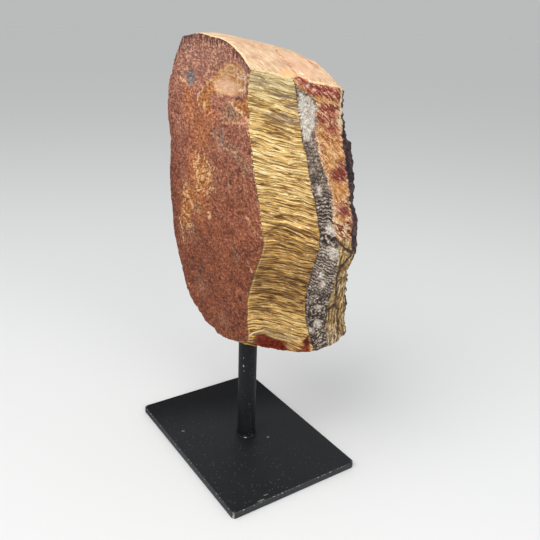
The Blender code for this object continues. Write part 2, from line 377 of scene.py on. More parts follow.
def spreadOut(values, pairs, rounds):
    # each vertex takes the mean of itself and its neighbours
    first, second = pairs.T
    count = np.bincount(first, minlength=len(values)) + np.bincount(second, minlength=len(values))
    for turn in range(rounds):
        total = (np.bincount(first, values[second], len(values))
                 + np.bincount(second, values[first], len(values)))
        values = 0.5 * values + 0.5 * total / np.maximum(count, 1)
    return values


def blob(across, up, centre, halfSizes, softness=0.4, turn=0.0):
    # 1 inside an oval mark, fading out over its rim
    sine, cosine = math.sin(math.radians(turn)), math.cos(math.radians(turn))
    alongX, alongY = across - centre[0], up - centre[1]
    reach = np.hypot((alongX * cosine + alongY * sine) / halfSizes[0],
                     (alongY * cosine - alongX * sine) / halfSizes[1])
    return 1 - fade(reach, 1 - softness, 1 + softness)


def farFromLine(across, up, points):
    # distance to a line through the points
    nearest = np.full(len(across), np.inf)
    for start, end in zip(points, points[1:]):
        run = np.subtract(end, start)
        share = np.clip(((across - start[0]) * run[0] + (up - start[1]) * run[1]) / run.dot(run), 0, 1)
        nearest = np.minimum(nearest, np.hypot(across - start[0] - share * run[0],
                                               up - start[1] - share * run[1]))
    return nearest


def stroke(across, up, points, halfWidth):
    return 1 - fade(farFromLine(across, up, points), 0.3 * halfWidth, 1.3 * halfWidth)


def insideLoop(across, up, loop, softness):
    # 1 inside a closed outline, fading out over its rim
    inside = np.zeros(len(across), bool)
    for (startX, startY), (endX, endY) in zip(loop, loop[1:] + loop[:1]):
        crosses = (startY > up) != (endY > up)
        reach = startX + (up - startY) * (endX - startX) / ((endY - startY) or 1)
        inside ^= crosses & (across < reach)
    distance = farFromLine(across, up, loop + loop[:1])
    return fade(np.where(inside, distance, -distance), -softness, softness)


def blobs(across, up, spots, softness=0.4):
    return strongest(*(blob(across, up, centre, halfSizes, softness) for centre, halfSizes in spots))


def strokes(across, up, lines, halfWidth):
    return strongest(*(stroke(across, up, line, halfWidth) for line in lines))


def strongest(*masks):
    return np.maximum.reduce(masks)


# the slab's layers, in millimetres
slab = {
    "jasperY": -32.0,
    # how much the layers drop towards the back, by height
    "fallHeights": (110, 288),
    "falls": (0.36, 0.22),
    # where the golden fibres end and where the quartz seam ends, as (height, y)
    "goldEnd": ((118, 25), (129, 21.5), (138, 18), (153, 15.4), (165, 13.2), (179, 11.7), (188, 11.3),
                (195, 12.5), (201, 13.6), (209, 12.9), (219, 12.4), (227, 11.5), (235, 10.1), (246, 10.1),
                (254, 8.3), (262, 7.8), (269, 6.8), (273, 5.5), (279, 3.9), (285, 0.7), (290, -2)),
    "quartzEnd": ((118, 37), (130, 36.2), (140, 33.9), (149, 35.9), (165, 34.9), (176, 31), (186, 29),
                  (196, 26.2), (203, 25.1), (212, 25.2), (221, 26.4), (229, 26.3), (237, 24.3), (246, 20.7),
                  (253, 19.8), (260, 18.6), (268, 20), (275, 20), (280, 17.5), (282, 12.7), (284.5, 3),
                  (287, -2), (290, -4)),
    "backEdge": ((120, 54), (137, 55.5), (145, 54.5), (163, 49.5), (175, 45), (186, 42), (192, 40.5),
                 (197, 37.5), (202, 38.2), (210, 40.7), (219, 42.6), (229, 42.4), (236, 41.9), (247, 41.6),
                 (252, 41.3), (260, 40.3), (268, 41), (277, 40.5), (284, 39.5), (292, 38)),
    "backTaper": 0.08,
    # how the golden fibres fall towards the quartz, as (height, fall)
    "fibreTilt": ((195, 0.17), (205, 0.05), (224, 0.03), (255, 0.02), (290, 0.0)),
    "skinDepth": 0.9,
    "skinAtLeftEnd": 8.0,
    "leftEnd": (-38, -52),
    "taperFrom": 60,
    "tiltFrom": -27,
    "cornerDip": 4.6,
}


def heightInSlab(points, shape):
    # the height that a point's layer has on the jasper face
    height = points[:, 2].copy()
    for turn in range(8):
        fall = np.interp(height, shape["fallHeights"], shape["falls"])
        height = points[:, 2] + fall * (points[:, 1] - shape["jasperY"])
    return height


def edgeLine(sides, one, other):
    # the vertices where two sides meet
    tree = kdtree.KDTree(len(points))
    for i in np.flatnonzero((sides[one] > 0) & (sides[other] > 0)):
        tree.insert(points[i], i)
    tree.balance()
    return tree


def farFromEdge(sides, one, other, longest=25.0):
    tree = edgeLine(sides, one, other)
    return np.array([min(tree.find(place)[2], longest) for place in points.tolist()])


points = readVectors(stoneMesh.vertices, "co") / mm
pairs = np.zeros(len(stoneMesh.edges) * 2, np.int32)
stoneMesh.edges.foreach_get("vertices", pairs)
pairs = pairs.reshape(-1, 2)

rawSides = {name: np.zeros(len(points)) for name in sideNames}
for face in stoneMesh.polygons:
    rawSides[sideNames[face.material_index]][list(face.vertices)] = 1
    face.material_index = 0
sides = {name: spreadOut(rawSides[name], pairs, 1) for name in sideNames}
fromTopEdge = farFromEdge(rawSides, "jasper", "top")
fromCorner = farFromEdge(rawSides, "jasper", "banded")
fromBandedTop = farFromEdge(rawSides, "banded", "top")

acrossX, deepY, upZ = points.T
height = heightInSlab(points, slab)
pastGold = deepY - np.interp(height, *np.transpose(slab["goldEnd"]))
pastQuartz = deepY - np.interp(height, *np.transpose(slab["quartzEnd"]))
beforeBack = (np.interp(height, *np.transpose(slab["backEdge"]))
              - slab["backTaper"] * (slab["taperFrom"] - acrossX) - deepY)
leftEnd = fade(acrossX, *slab["leftEnd"])
skin = slab["skinDepth"] + (slab["skinAtLeftEnd"] - slab["skinDepth"]) * leftEnd
inJasper = deepY - slab["jasperY"] - skin

# fibres run from the jasper to the quartz; their own height waves a little
waves = (1.3 * noiseAt(points, (40, 24, 34), 3.1) + 0.5 * noiseAt(points, (18, 9, 16), 8.4)
         + 0.14 * noiseAt(points, (14, 6, 8), 9.7))
tilt = np.interp(height, *np.transpose(slab["fibreTilt"])) * (deepY - slab["tiltFrom"])
cornerDip = slab["cornerDip"] * np.exp(-(deepY - slab["jasperY"]) / 5.5) * fade(height, 200, 188)
fibreHeight = height + waves + tilt + cornerDip
fibrePoints = np.column_stack((acrossX, deepY, fibreHeight))
ridges = 0.7 * noiseAt(fibrePoints, (24, 26, 2.6), 1.7) + 0.55 * noiseAt(fibrePoints, (12, 14, 1.6), 5.2)
print("stone fields done")


# marks on the jasper face, by x and height in millimetres
jasperMarks = {
    "scar": ((24, 289.2), (31.3, 288.4), (39, 288.5), (45.4, 286), (48.4, 283.8), (47.6, 280.7),
             (45.2, 276.2), (40.6, 273.1), (33.8, 271.2), (24.8, 270.2), (18.3, 268.9), (14.7, 270.5),
             (9.9, 271.4), (6.6, 274.4), (4.8, 277.6), (8.1, 280.4), (13.8, 283.5), (18.9, 286.9)),
    "scarOchre": ((14, 280.5), (7, 4)),
    "scarPink": ((21, 275), (11, 5)),
    "scarLines": (((11.6, 280), (17.8, 282.1), (25, 282.7), (30.2, 282.1)),
                  ((13.5, 282.8), (22.8, 287.2), (31, 287.7), (36.6, 286.3)),
                  ((7.4, 277.1), (10.4, 273.4), (15.6, 270.6)),
                  ((13, 281.5), (20, 284.6), (29, 285.2), (36, 283.6)),
                  ((36.6, 285), (33.3, 280), (38.1, 274.8), (34.8, 273.2))),
    "fracture": (((38, 283), (3, 2.4)), ((44.5, 281), (4.5, 2.2)), ((39.5, 275.5), (6, 1.8)),
                 ((45.5, 277.5), (3, 2.4)), ((33.5, 284.6), (3, 1.4))),
    "tail": ((0.1, 277.2), (4.9, 278.2), (8.5, 271.8), (2.8, 259.1), (-3.5, 257.9), (-9.9, 260.5),
             (-11.6, 264.6), (-8.5, 268.3), (-0.5, 272.5)),
    "tailRim": ((4.8, 278.3), (-2.2, 271.9), (-8.5, 269.3), (-11.4, 265.6), (-11.4, 263.2), (-9.8, 260.4)),
    "tailSpot": ((-1.8, 260.8), (1.6, 2.6)),
    "greyChip": ((-24.5, 281), (-16.2, 281.3), (-15.3, 278.6), (-19.9, 273.2), (-21.7, 269.6), (-25, 272.3),
                 (-27.6, 277), (-26.4, 279.1)),
    "greyStain": ((-30, 279), (2.8, 2.4)),
    "chipLine": ((-35.4, 277.1), (-31.9, 274.9), (-28, 273.1), (-25.5, 272)),
    "paleCrack": ((-39.9, 290.1), (-34.8, 285.6), (-29.3, 281.1)),
    "smallScar": ((34.2, 269.3), (40.6, 271.2), (48.2, 270.9), (50.6, 267.2), (48.4, 262), (43, 261),
                  (37.6, 263.4), (32.6, 266.6)),
    "smallScarLines": (((28.5, 267.4), (32, 265.5), (36.1, 261.9), (46.5, 258.2)),
                       ((34.6, 264.3), (41, 262.2), (47.8, 259))),
    "scarNotch": ((33.1, 268.4), (39.1, 270), (41, 268.4)),
    "tan": ((28, 261.5), (11, 5.5)),
    "ledgeLine": ((21, 253.9), (31.2, 255.4), (39.3, 256.1), (47.2, 257.4), (52, 258.5)),
    "rust": (((-8, 243), (13, 16)), ((3, 256), (9, 6)), ((-24, 262), (9, 14)), ((-12, 196), (14, 12)),
             ((-19, 222), (8, 12))),
    "swirlLines": (((-18, 228.8), (-18.5, 224.6), (-19.4, 221.5), (-18.4, 218.6), (-16.6, 214.4),
                    (-13.4, 210.5), (-11.5, 204.8)), ((-4.1, 231.7), (-6.4, 227.5), (-2.1, 225.4),
                                                      (2.8, 222.6), (10, 223.5)),
                   ((-16.4, 219), (-14.6, 214.8), (-7.8, 212.4), (-1, 211.6), (6.2, 214.7)),
                   ((-11.5, 215.5), (-7.2, 213.3), (0.4, 213.4)),
                   ((-14.4, 222.3), (-8.1, 221.3), (1.2, 220.1), (3.3, 217.6)),
                   ((-10.3, 217.2), (-5.3, 220.3), (1.2, 219.4), (-0.7, 215.3), (-6.2, 214.2),
                    (-10.2, 215.7)), ((-19.4, 221.5), (-12.8, 225.3), (-14.3, 228.3)),
                   ((-11.5, 204.8), (-1.6, 207), (0.6, 205.3), (8.6, 210.8)),
                   ((-27.2, 209.9), (-33.3, 203), (-34.5, 198), (-34.1, 193.2), (-36, 186.2),
                    (-34.1, 182.5), (-30.4, 181.7)), ((-30.8, 198.8), (-28.9, 194.3), (-22.8, 191),
                                                      (-22.5, 187.9)), ((-41.3, 176.6), (-38.8, 171.3),
                                                                        (-36.6, 166.9), (-36.2, 161.9)),
                   ((-36.1, 179.5), (-31.6, 174.9), (-24.4, 175.2))),
    "swirlFill": (((-6.5, 216.5), (12, 11.5)), ((-25, 198), (8, 9)), ((-33, 184), (6, 10))),
    "brown": ((-14, 193), (7, 4)),
    "scratches": (((53, 202.3), (56, 199), (61.2, 196.3), (67.5, 194)), ((45.1, 227.7), (49.5, 225.2)),
                  ((52.1, 174.4), (56.3, 171.2), (59.1, 168.4)), ((50.5, 202), (54.5, 201.5))),
    "greyStreaks": (((20.2, 245.2), (2.2, 6)), ((15, 218), (1, 3)), ((-20.6, 298), (1.2, 3)),
                    ((48, 289.5), (1.4, 2.6))),
    "oliveBand": ((10, 246), (24, 241), (37, 237.6), (45.9, 233.8), (52, 231)),
    "greenAreas": (((24, 121.9), (7, 4)), ((-7.2, 137), (7, 7)), ((39, 174), (4, 7)), ((-27, 172), (12, 7)),
                   ((44.1, 200), (1.8, 1.6))),
    "darkSpots": ((-20.8, 152.8), (40.6, 177), (32.9, 131.2), (18.8, 151.4), (-8.6, 145.5), (45.1, 145.4),
                  (-40, 141.1), (31, 219.4), (15, 217.6), (-52.8, 212.7), (-54.1, 196), (53.5, 241.9)),
    "paleSpots": (((-28.4, 130.7), (1.3, 1.7)), ((4, 191), (3.4, 2.2))),
}


def wander(values, size, amount, seed):
    # the same field with a slightly wavering edge
    return (values + amount * noiseAt(points, size, seed)
            + 0.35 * amount * noiseAt(points, size / 3, seed + 3))


def paintJasper(marks):
    # masks over the jasper face, each 0 to 1
    across, up = wander(acrossX, 6, 1.1, 11.3), wander(upZ, 6, 1.1, 21.7)
    face = rawSides["jasper"]
    scar = insideLoop(across, up, marks["scar"], 0.7)
    lines = strokes(across, up, marks["scarLines"], 0.7)
    cream = strongest(0.8 * lines, stroke(across, up, marks["tailRim"], 0.8),
                      stroke(across, up, marks["chipLine"], 1.1),
                      0.5 * stroke(across, up, marks["paleCrack"], 0.7),
                      blob(across, up, *marks["tailSpot"], 0.5),
                      strokes(across, up, marks["smallScarLines"], 0.8),
                      0.55 * strokes(acrossX, upZ, marks["scratches"], 0.6),
                      0.6 * stroke(acrossX, upZ, marks["ledgeLine"], 0.6),
                      0.8 * blobs(across, up, marks["paleSpots"]))
    smallScar = (insideLoop(across, up, marks["smallScar"], 0.8)
                 * (1 - stroke(across, up, marks["scarNotch"], 1.3)))
    white = blobs(across, up, marks["fracture"], 0.5)
    ochre = strongest(0.9 * insideLoop(across, up, marks["tail"], 1.2), smallScar,
                      0.7 * blob(across, up, *marks["scarOchre"], 0.5),
                      0.85 * blobs(across, up, marks["swirlFill"], 0.5))
    rust = blobs(across, up, marks["rust"], 0.7)
    grey = strongest(insideLoop(across, up, marks["greyChip"], 0.6),
                     0.6 * blob(across, up, *marks["greyStain"]),
                     0.4 * blobs(across, up, marks["greyStreaks"], 0.8))
    olive = strongest(blob(across, up, *marks["tan"], 0.5),
                      0.8 * stroke(across, up, marks["oliveBand"], 4.5),
                      0.8 * blob(across, up, *marks["brown"], 0.6),
                      0.42 * blobs(across, up, marks["greenAreas"], 0.9))
    stain = strongest(*(blob(across, up, centre, (1.3, 1.8), 0.5) for centre in marks["darkSpots"]),
                      stroke(across, up, marks["scarNotch"], 0.9))
    masks = {"peach": scar, "cream": cream, "white": white * scar, "ochre": ochre, "rust": rust,
             "grey": grey, "olive": olive, "stain": stain, "pink": blob(across, up, *marks["scarPink"], 0.5)}
    masks = {name: mask * face for name, mask in masks.items()}
    fromSwirl = np.minimum.reduce([farFromLine(across, up, line) for line in marks["swirlLines"]])
    masks["fromSwirl"] = np.where(face > 0, fromSwirl, 30.0)
    return masks


onJasper = paintJasper(jasperMarks)

# marks on the banded face, by y and height in the slab in millimetres
bandedMarks = {
    "darkFibres": (((-5, 264.8), (11.5, 2.6)), ((0.5, 272.5), (6.5, 2.0)), ((-24, 283), (5, 1.8)),
                   ((-8, 277.5), (8, 1.0))),
    "greenTop": (273, 282),
    "cracks": (((-31.5, 194.5), (-27.5, 197.7), (-22.1, 201.2), (-16.8, 203.7), (-11.8, 205)),
               ((-32, 194.9), (-26, 195.5), (-18.7, 195.2), (-15, 193.9), (-9.8, 195.8), (1, 194.7),
                (11, 195.5)), ((-10, 167.1), (-5.2, 168.9), (1.9, 168.5), (10, 168.5)),
               ((-8.5, 166), (0, 166.3), (8, 167.2)), ((-28, 142.8), (-19.7, 143.9)),
               ((-19.7, 143.9), (-12.4, 143.7)), ((-3.6, 144), (6.9, 143.6), (15, 145.3)),
               ((-10.7, 224.3), (-7.8, 223), (-6, 221.6))),
    "slot": ((-22, 143.6), (4.5, 1.1)),
    "hole": ((-12.1, 151.4), (1.2, 1.2)),
    "greenStep": ((-17.2, 129.3), (-15.8, 124.8), (-9.3, 123.1), (0.1, 120.6), (9, 120.9), (9.2, 125),
                  (0.7, 125.8), (-7.9, 127.9), (-14.7, 129.5)),
    "redFloor": ((-26.5, 124), (-15.8, 124.8), (-9, 122.1), (0.1, 120.3), (8.4, 119.9), (14.8, 122.6),
                 (20.6, 127.5), (22, 122.5), (20, 108), (8.8, 100), (3.3, 98), (-7.4, 98), (-17.6, 102),
                 (-26, 112)),
    "tanFloor": ((8.8, 119.6), (5.4, 6.5)),
    "redEnd": ((19.0, 124.4), (3.4, 3.6)),
    "yellowRings": ((-25, 121), (8.5, 5.2)),
    "chipRim": ((-32, 118), (-31.5, 120.9), (-30.2, 123.8), (-26.1, 126.2), (-20.7, 127.5), (-17.6, 128.4)),
    "whiteTop": ((4.2, 281.6), (11, 281.5), (16, 279.7), (19, 274.4), (18.8, 267.1), (16.8, 261),
                 (12.6, 256), (8.4, 256.9), (6.9, 262.4), (5.4, 272.1)),
    "crystals": ((6.4, 280.2), (15.2, 274.3), (11.8, 266.6), (12.8, 257.2), (12.3, 262.4), (14, 269)),
    "whiteLow": (((23, 206), (4.5, 3.5)), ((25, 191.5), (5, 4)), ((20.2, 174.3), (1.6, 2.4)),
                 ((24.3, 167), (1.8, 3)), ((26.5, 149.5), (3.2, 2.2)), ((28, 137.5), (3, 3)),
                 ((22, 131), (3, 2)), ((17, 228), (2.4, 3))),
    "veins": (((26, 200), (32.5, 196), (38.8, 194.5), (36.8, 190.3), (34.8, 186.9), (32.2, 182),
               (32.7, 175.6), (37.7, 165.4), (39.4, 159.7), (41.9, 152.9), (35.8, 146.9), (33.8, 141.3),
               (34.8, 138.9)), ((41.9, 152.2), (45.2, 148.9), (46.1, 141.2), (47.1, 134.3))),
    "maroonLens": ((1.3, 290.8), (4.1, 291.5), (10.7, 293), (19.7, 293.4), (26.8, 291.9), (30.5, 289.6),
                   (35.1, 285.3), (33, 282.8), (26.9, 284), (19.7, 282.5), (15.6, 281.6), (8.9, 284.8),
                   (3.9, 286), (1, 288.3)),
    "orangeLine": ((2.1, 286.2), (8, 283.8), (14, 281.2), (19, 280.6), (25.8, 281.4), (33, 281)),
    "maroonSpots": (((28, 275.5), (7, 4)), ((31, 266), (6, 2.6)), ((24, 270), (3, 3)),
                    ((38.5, 243), (4.0, 5)), ((33.5, 239.5), (5.5, 4)), ((34.5, 218.6), (5.2, 3.2))),
    "orangeSpots": (((31.5, 255), (9, 8)), ((24, 262), (3.5, 6)), ((30, 243), (5, 6)),
                    ((33.5, 231), (7, 6)), ((31, 213.6), (5, 2.2)), ((20.5, 229), (1.6, 2.4)),
                    ((25, 244), (3, 4))),
    "creamSpots": (((20.6, 252), (0.9, 6)), ((21.5, 236.5), (1.6, 4)), ((36, 270.6), (2, 1.6)),
                   ((37.4, 277.5), (1.6, 6)), ((40, 225), (4.5, 2.2)), ((32, 207.5), (7, 6)),
                   ((24, 225), (2, 4)), ((27.5, 212), (2.6, 6))),
}


def paintBanded(marks):
    across, up = wander(deepY, 5, 0.7, 31.9), wander(height, 5, 0.7, 37.7)
    face = rawSides["banded"]
    darkFibres = blobs(across, up, marks["darkFibres"], 0.7)
    crack = strongest(strokes(deepY, up, marks["cracks"], 0.7),
                      *(blob(deepY, height, *marks[name], 0.4) for name in ("slot", "hole")))
    vein = strokes(across, up, marks["veins"], 1.3)
    white = strongest(insideLoop(across, up, marks["whiteTop"], 1.0),
                      blobs(across, up, marks["whiteLow"], 0.6))
    crystals = strongest(*(blob(across, up, centre, (1.3, 1.7), 0.4) for centre in marks["crystals"]))
    maroon = strongest(insideLoop(across, up, marks["maroonLens"], 0.9),
                       0.9 * blobs(across, up, marks["maroonSpots"], 0.6))
    orange = strongest(stroke(across, up, marks["orangeLine"], 1.4),
                       0.9 * blobs(across, up, marks["orangeSpots"], 0.6))
    cream = strongest(crystals, 0.9 * blobs(across, up, marks["creamSpots"], 0.6))
    green = strongest(fade(up, *marks["greenTop"]) * fade(pastGold, 0, -2),
                      insideLoop(deepY, height, marks["greenStep"], 0.5))
    red = (insideLoop(deepY, height, marks["redFloor"], 0.7)
           * (1 - 0.85 * blob(across, height, *marks["tanFloor"], 0.3)))
    rings = (blob(deepY, height, *marks["yellowRings"], 0.35)
             * (1 - insideLoop(deepY, height, marks["redFloor"], 0.7) * fade(deepY, -26, -20)))
    masks = {"darkFibres": darkFibres, "crack": crack, "vein": vein,
             "whiteQuartz": strongest(white, crystals), "maroon": maroon, "orange": orange,
             "paleOrange": cream, "green": green, "red": red * (1 - rings), "chipRings": rings,
             "redEnd": blob(deepY, height, *marks["redEnd"], 0.5),
             "chipRim": stroke(deepY, height, marks["chipRim"], 0.5)}
    low = strongest(face, rawSides["under"] * fade(acrossX, 36, 40))
    return {name: mask * (low if name in ("red", "chipRings") else face) for name, mask in masks.items()}


onBanded = paintBanded(bandedMarks)

# marks on the broken top, by x and y in millimetres
topMarks = {
    "crack": ((20, 4.5), (28.5, 2.5), (39.6, 1.3), (47.6, 1.9), (52, 2.5)),
    "dent": ((25, -9.2), (5.5, 1.2)),
    "rustSpots": (((29, 22.5), (2.5, 1.0)), ((33.5, 23.4), (3, 1.0)), ((36.2, 25.8), (2, 1))),
    "pinkArea": ((38, 10), (14, 12)),
    "orangeArea": ((49.5, -3), (3, 6)),
    "whitePatches": (((47.6, 6.5), (0.7, 2.1)), ((51.4, 9.8), (0.5, 1.1))),
}


def paintTop(marks):
    across, deep = wander(acrossX, 5, 0.7, 41.3), wander(deepY, 5, 0.7, 43.7)
    masks = {"topCrack": stroke(across, deep, marks["crack"], 0.6),
             "dent": blob(across, deep, *marks["dent"], 0.4),
             "topRust": blobs(across, deep, marks["rustSpots"], 0.5),
             "pinkTop": blob(across, deep, *marks["pinkArea"], 0.7),
             "topOrange": blob(across, deep, *marks["orangeArea"], 0.6)}
    masks = {name: mask * sides["top"] for name, mask in masks.items()}
    masks["whiteTop"] = blobs(across, deep, marks["whitePatches"], 0.4) * fade(upZ, 272, 275)
    return masks


onTop = paintTop(topMarks)
print("stone marks painted")


# fine relief of the stone, in millimetres outwards; pairs are where a fade starts and ends
stoneRelief = {
    "fibreRidge": 0.24,
    "fibreSwell": 0.24,
    "jasperGrain": 0.2,
    "quartzLump": 0.9,
    "orangeLump": 1.0,
    "crustLump": 2.0,
    "topGrain": 0.18,
    "crackDepth": 0.55,
    "seamDepth": 0.8,
    "chipEdges": 1.1,
    "nearHole": (11, 8),
    "holeHeights": (140, 133),
    "boxMargin": 0.02,
}


def fineRelief(sizes):
    goldZone = fade(pastGold, 0.4, -0.4)
    quartzZone = fade(pastGold, -0.4, 0.4) * fade(pastQuartz, 0.4, -0.4)
    backZone = fade(pastQuartz, -0.4, 0.4)
    cutFaces = np.clip(sides["banded"] + sides["broken"], 0, 1)
    inChip = strongest(onBanded["red"], onBanded["chipRings"])
    fibres = sizes["fibreRidge"] * ridges + sizes["fibreSwell"] * noiseAt(fibrePoints, (20, 30, 8), 51.1)
    crystals = sizes["quartzLump"] * (0.45 - lumpsAt(points, (2.4, 2.4, 2.0), 53.9))
    knobs = (sizes["orangeLump"] * (0.7 * noiseAt(points, (5, 5, 4), 57.3)
                                    + 0.5 * noiseAt(points, (2.2, 2.2, 1.8), 59.9)))
    banded = cutFaces * (goldZone * (1 - 0.85 * inChip) * fibres + quartzZone * crystals + backZone * knobs)
    banded -= cutFaces * sizes["seamDepth"] * np.exp(-(pastGold / 0.8) ** 2)
    banded -= sizes["crackDepth"] * strongest(onBanded["crack"], 0.8 * onBanded["vein"])
    banded += (0.5 * onBanded["chipRim"] - 0.6 * onBanded["red"]
               - 0.3 * onBanded["green"] * fade(height, 140, 135))
    grain = sizes["jasperGrain"] * (noiseAt(points, 1.7, 61.7) + 1.2 * noiseAt(points, 6, 63.1))
    jasper = (sides["jasper"] * grain * (1 - 0.6 * onJasper["peach"]) + 0.3 * onJasper["cream"]
              - 0.9 * onJasper["grey"])
    jasper -= 0.5 * onJasper["stain"] + 0.35 * onJasper["ochre"]
    jasper += (0.35 * sides["jasper"] * fade(onJasper["fromSwirl"], 5, 0)
               * np.sin(onJasper["fromSwirl"] * 2.6))
    lumps = (sizes["crustLump"] * (0.5 - lumpsAt(points, 7, 67.3)) + 0.45 * noiseAt(points, 2.4, 69.7)
             + 0.8 * noiseAt(points, 16, 68.9))
    crust = sides["crust"] * lumps
    streaks = noiseAt(points @ np.array(((0.8, 0.6, 0), (-0.6, 0.8, 0), (0, 0, 1))), (9, 2.4, 4), 71.9)
    top = sides["top"] * (sizes["topGrain"] * streaks + 0.3 * noiseAt(points, 10, 73.3))
    top -= 0.8 * onTop["topCrack"] + 0.9 * onTop["dent"] + 0.3 * onTop["topRust"]
    under = sides["under"] * (0.7 * noiseAt(points, 5, 77.1) + 0.3 * noiseAt(points, 2, 79.3))
    edges = np.minimum(np.minimum(fromTopEdge, fromCorner), fromBandedTop)
    chips = fade(noiseAt(points, 3.2, 83.9), 0.05, 0.75) + 0.25
    nicks = fade(noiseAt(points, (2.0, 2.0, 2.6), 89.3), 0.25, 0.7) * fade(height, 150, 200)
    worn = -sizes["chipEdges"] * (chips * np.exp(-edges / 0.9) + nicks * np.exp(-fromCorner / 1.3))
    return banded + jasper + crust + top + under + worn


relief = fineRelief(stoneRelief)
fromPost = np.hypot(acrossX - postPlace[0], deepY - postPlace[1])
relief *= 1 - fade(fromPost, *stoneRelief["nearHole"]) * fade(upZ, *stoneRelief["holeHeights"])
outward = readVectors(stoneMesh.vertices, "normal")
# the jasper's upper left corner is a little sharper than in the solid, and the slope below it flatter
cornerPull = {"corner": (-30.6, 301), "reach": (7, 5), "out": 2.0, "slope": 282, "slopeReach": 10,
              "in": 0.9, "towards": (-0.65, 0, 0.76)}
nearCorner = np.exp(-((acrossX - cornerPull["corner"][0]) / cornerPull["reach"][0]) ** 2
                    - ((upZ - cornerPull["corner"][1]) / cornerPull["reach"][1]) ** 2)
onSlope = np.exp(-((upZ - cornerPull["slope"]) / cornerPull["slopeReach"]) ** 2) * fade(acrossX, -36, -44)
pull = (cornerPull["out"] * nearCorner * fade(deepY, 10, -20)
        - cornerPull["in"] * onSlope * fade(deepY, 20, -10))
carved = points + outward * relief[:, None] + pull[:, None] * np.array(cornerPull["towards"])
solidLow, solidHigh = (np.array(corner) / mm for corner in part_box("tigers_eye_stone"))
carved = np.clip(carved, solidLow + stoneRelief["boxMargin"], solidHigh - stoneRelief["boxMargin"])
stoneMesh.vertices.foreach_set("co", (carved * mm).ravel())
stoneMesh.update()
print("stone carved, relief", round(relief.min(), 2), "to", round(relief.max(), 2), "mm")


# the fields and marks go to the material as painted values on the vertices, four to a layer
fields = {
    "height": height,
    "fibreHeight": fibreHeight,
    "ridges": ridges,
    "inJasper": inJasper,
    "pastGold": pastGold,
    "pastQuartz": pastQuartz,
    "beforeBack": beforeBack,
    "fromTop": fromTopEdge,
    "fromCorner": fromCorner,
    "fromBandedTop": fromBandedTop,
    "leftEnd": leftEnd,
    **{side + "Side": sides[side] for side in sideNames},
    **onJasper,
    **onBanded,
    **onTop,
}
painted = {
    "slabPlace": ("height", "fibreHeight", "ridges", "inJasper"),
    "slabLayers": ("pastGold", "pastQuartz", "beforeBack", "fromSwirl"),
    "slabSides": ("jasperSide", "topSide", "crustSide", "underSide"),
    "slabEdges": ("fromTop", "fromCorner", "fromBandedTop", "leftEnd"),
    "jasperPale": ("ochre", "cream", "peach", "white"),
    "jasperDeep": ("olive", "stain", "rust", "grey"),
    "bandedDeep": ("darkFibres", "vein", "maroon", "crack"),
    "bandedPale": ("whiteQuartz", "orange", "paleOrange", "green"),
    "chipMarks": ("red", "chipRings", "redEnd", "chipRim"),
    "topMarks": ("topCrack", "topRust", "pinkTop", "whiteTop"),
    "smallMarks": ("pink", "topOrange", "dent", "bandedSide"),
}
for name, parts in painted.items():
    layer = stoneMesh.attributes.new(name, "FLOAT_COLOR", "POINT")
    values = np.column_stack([fields[part] for part in parts])
    layer.data.foreach_set("color", values.astype(np.float32).ravel())


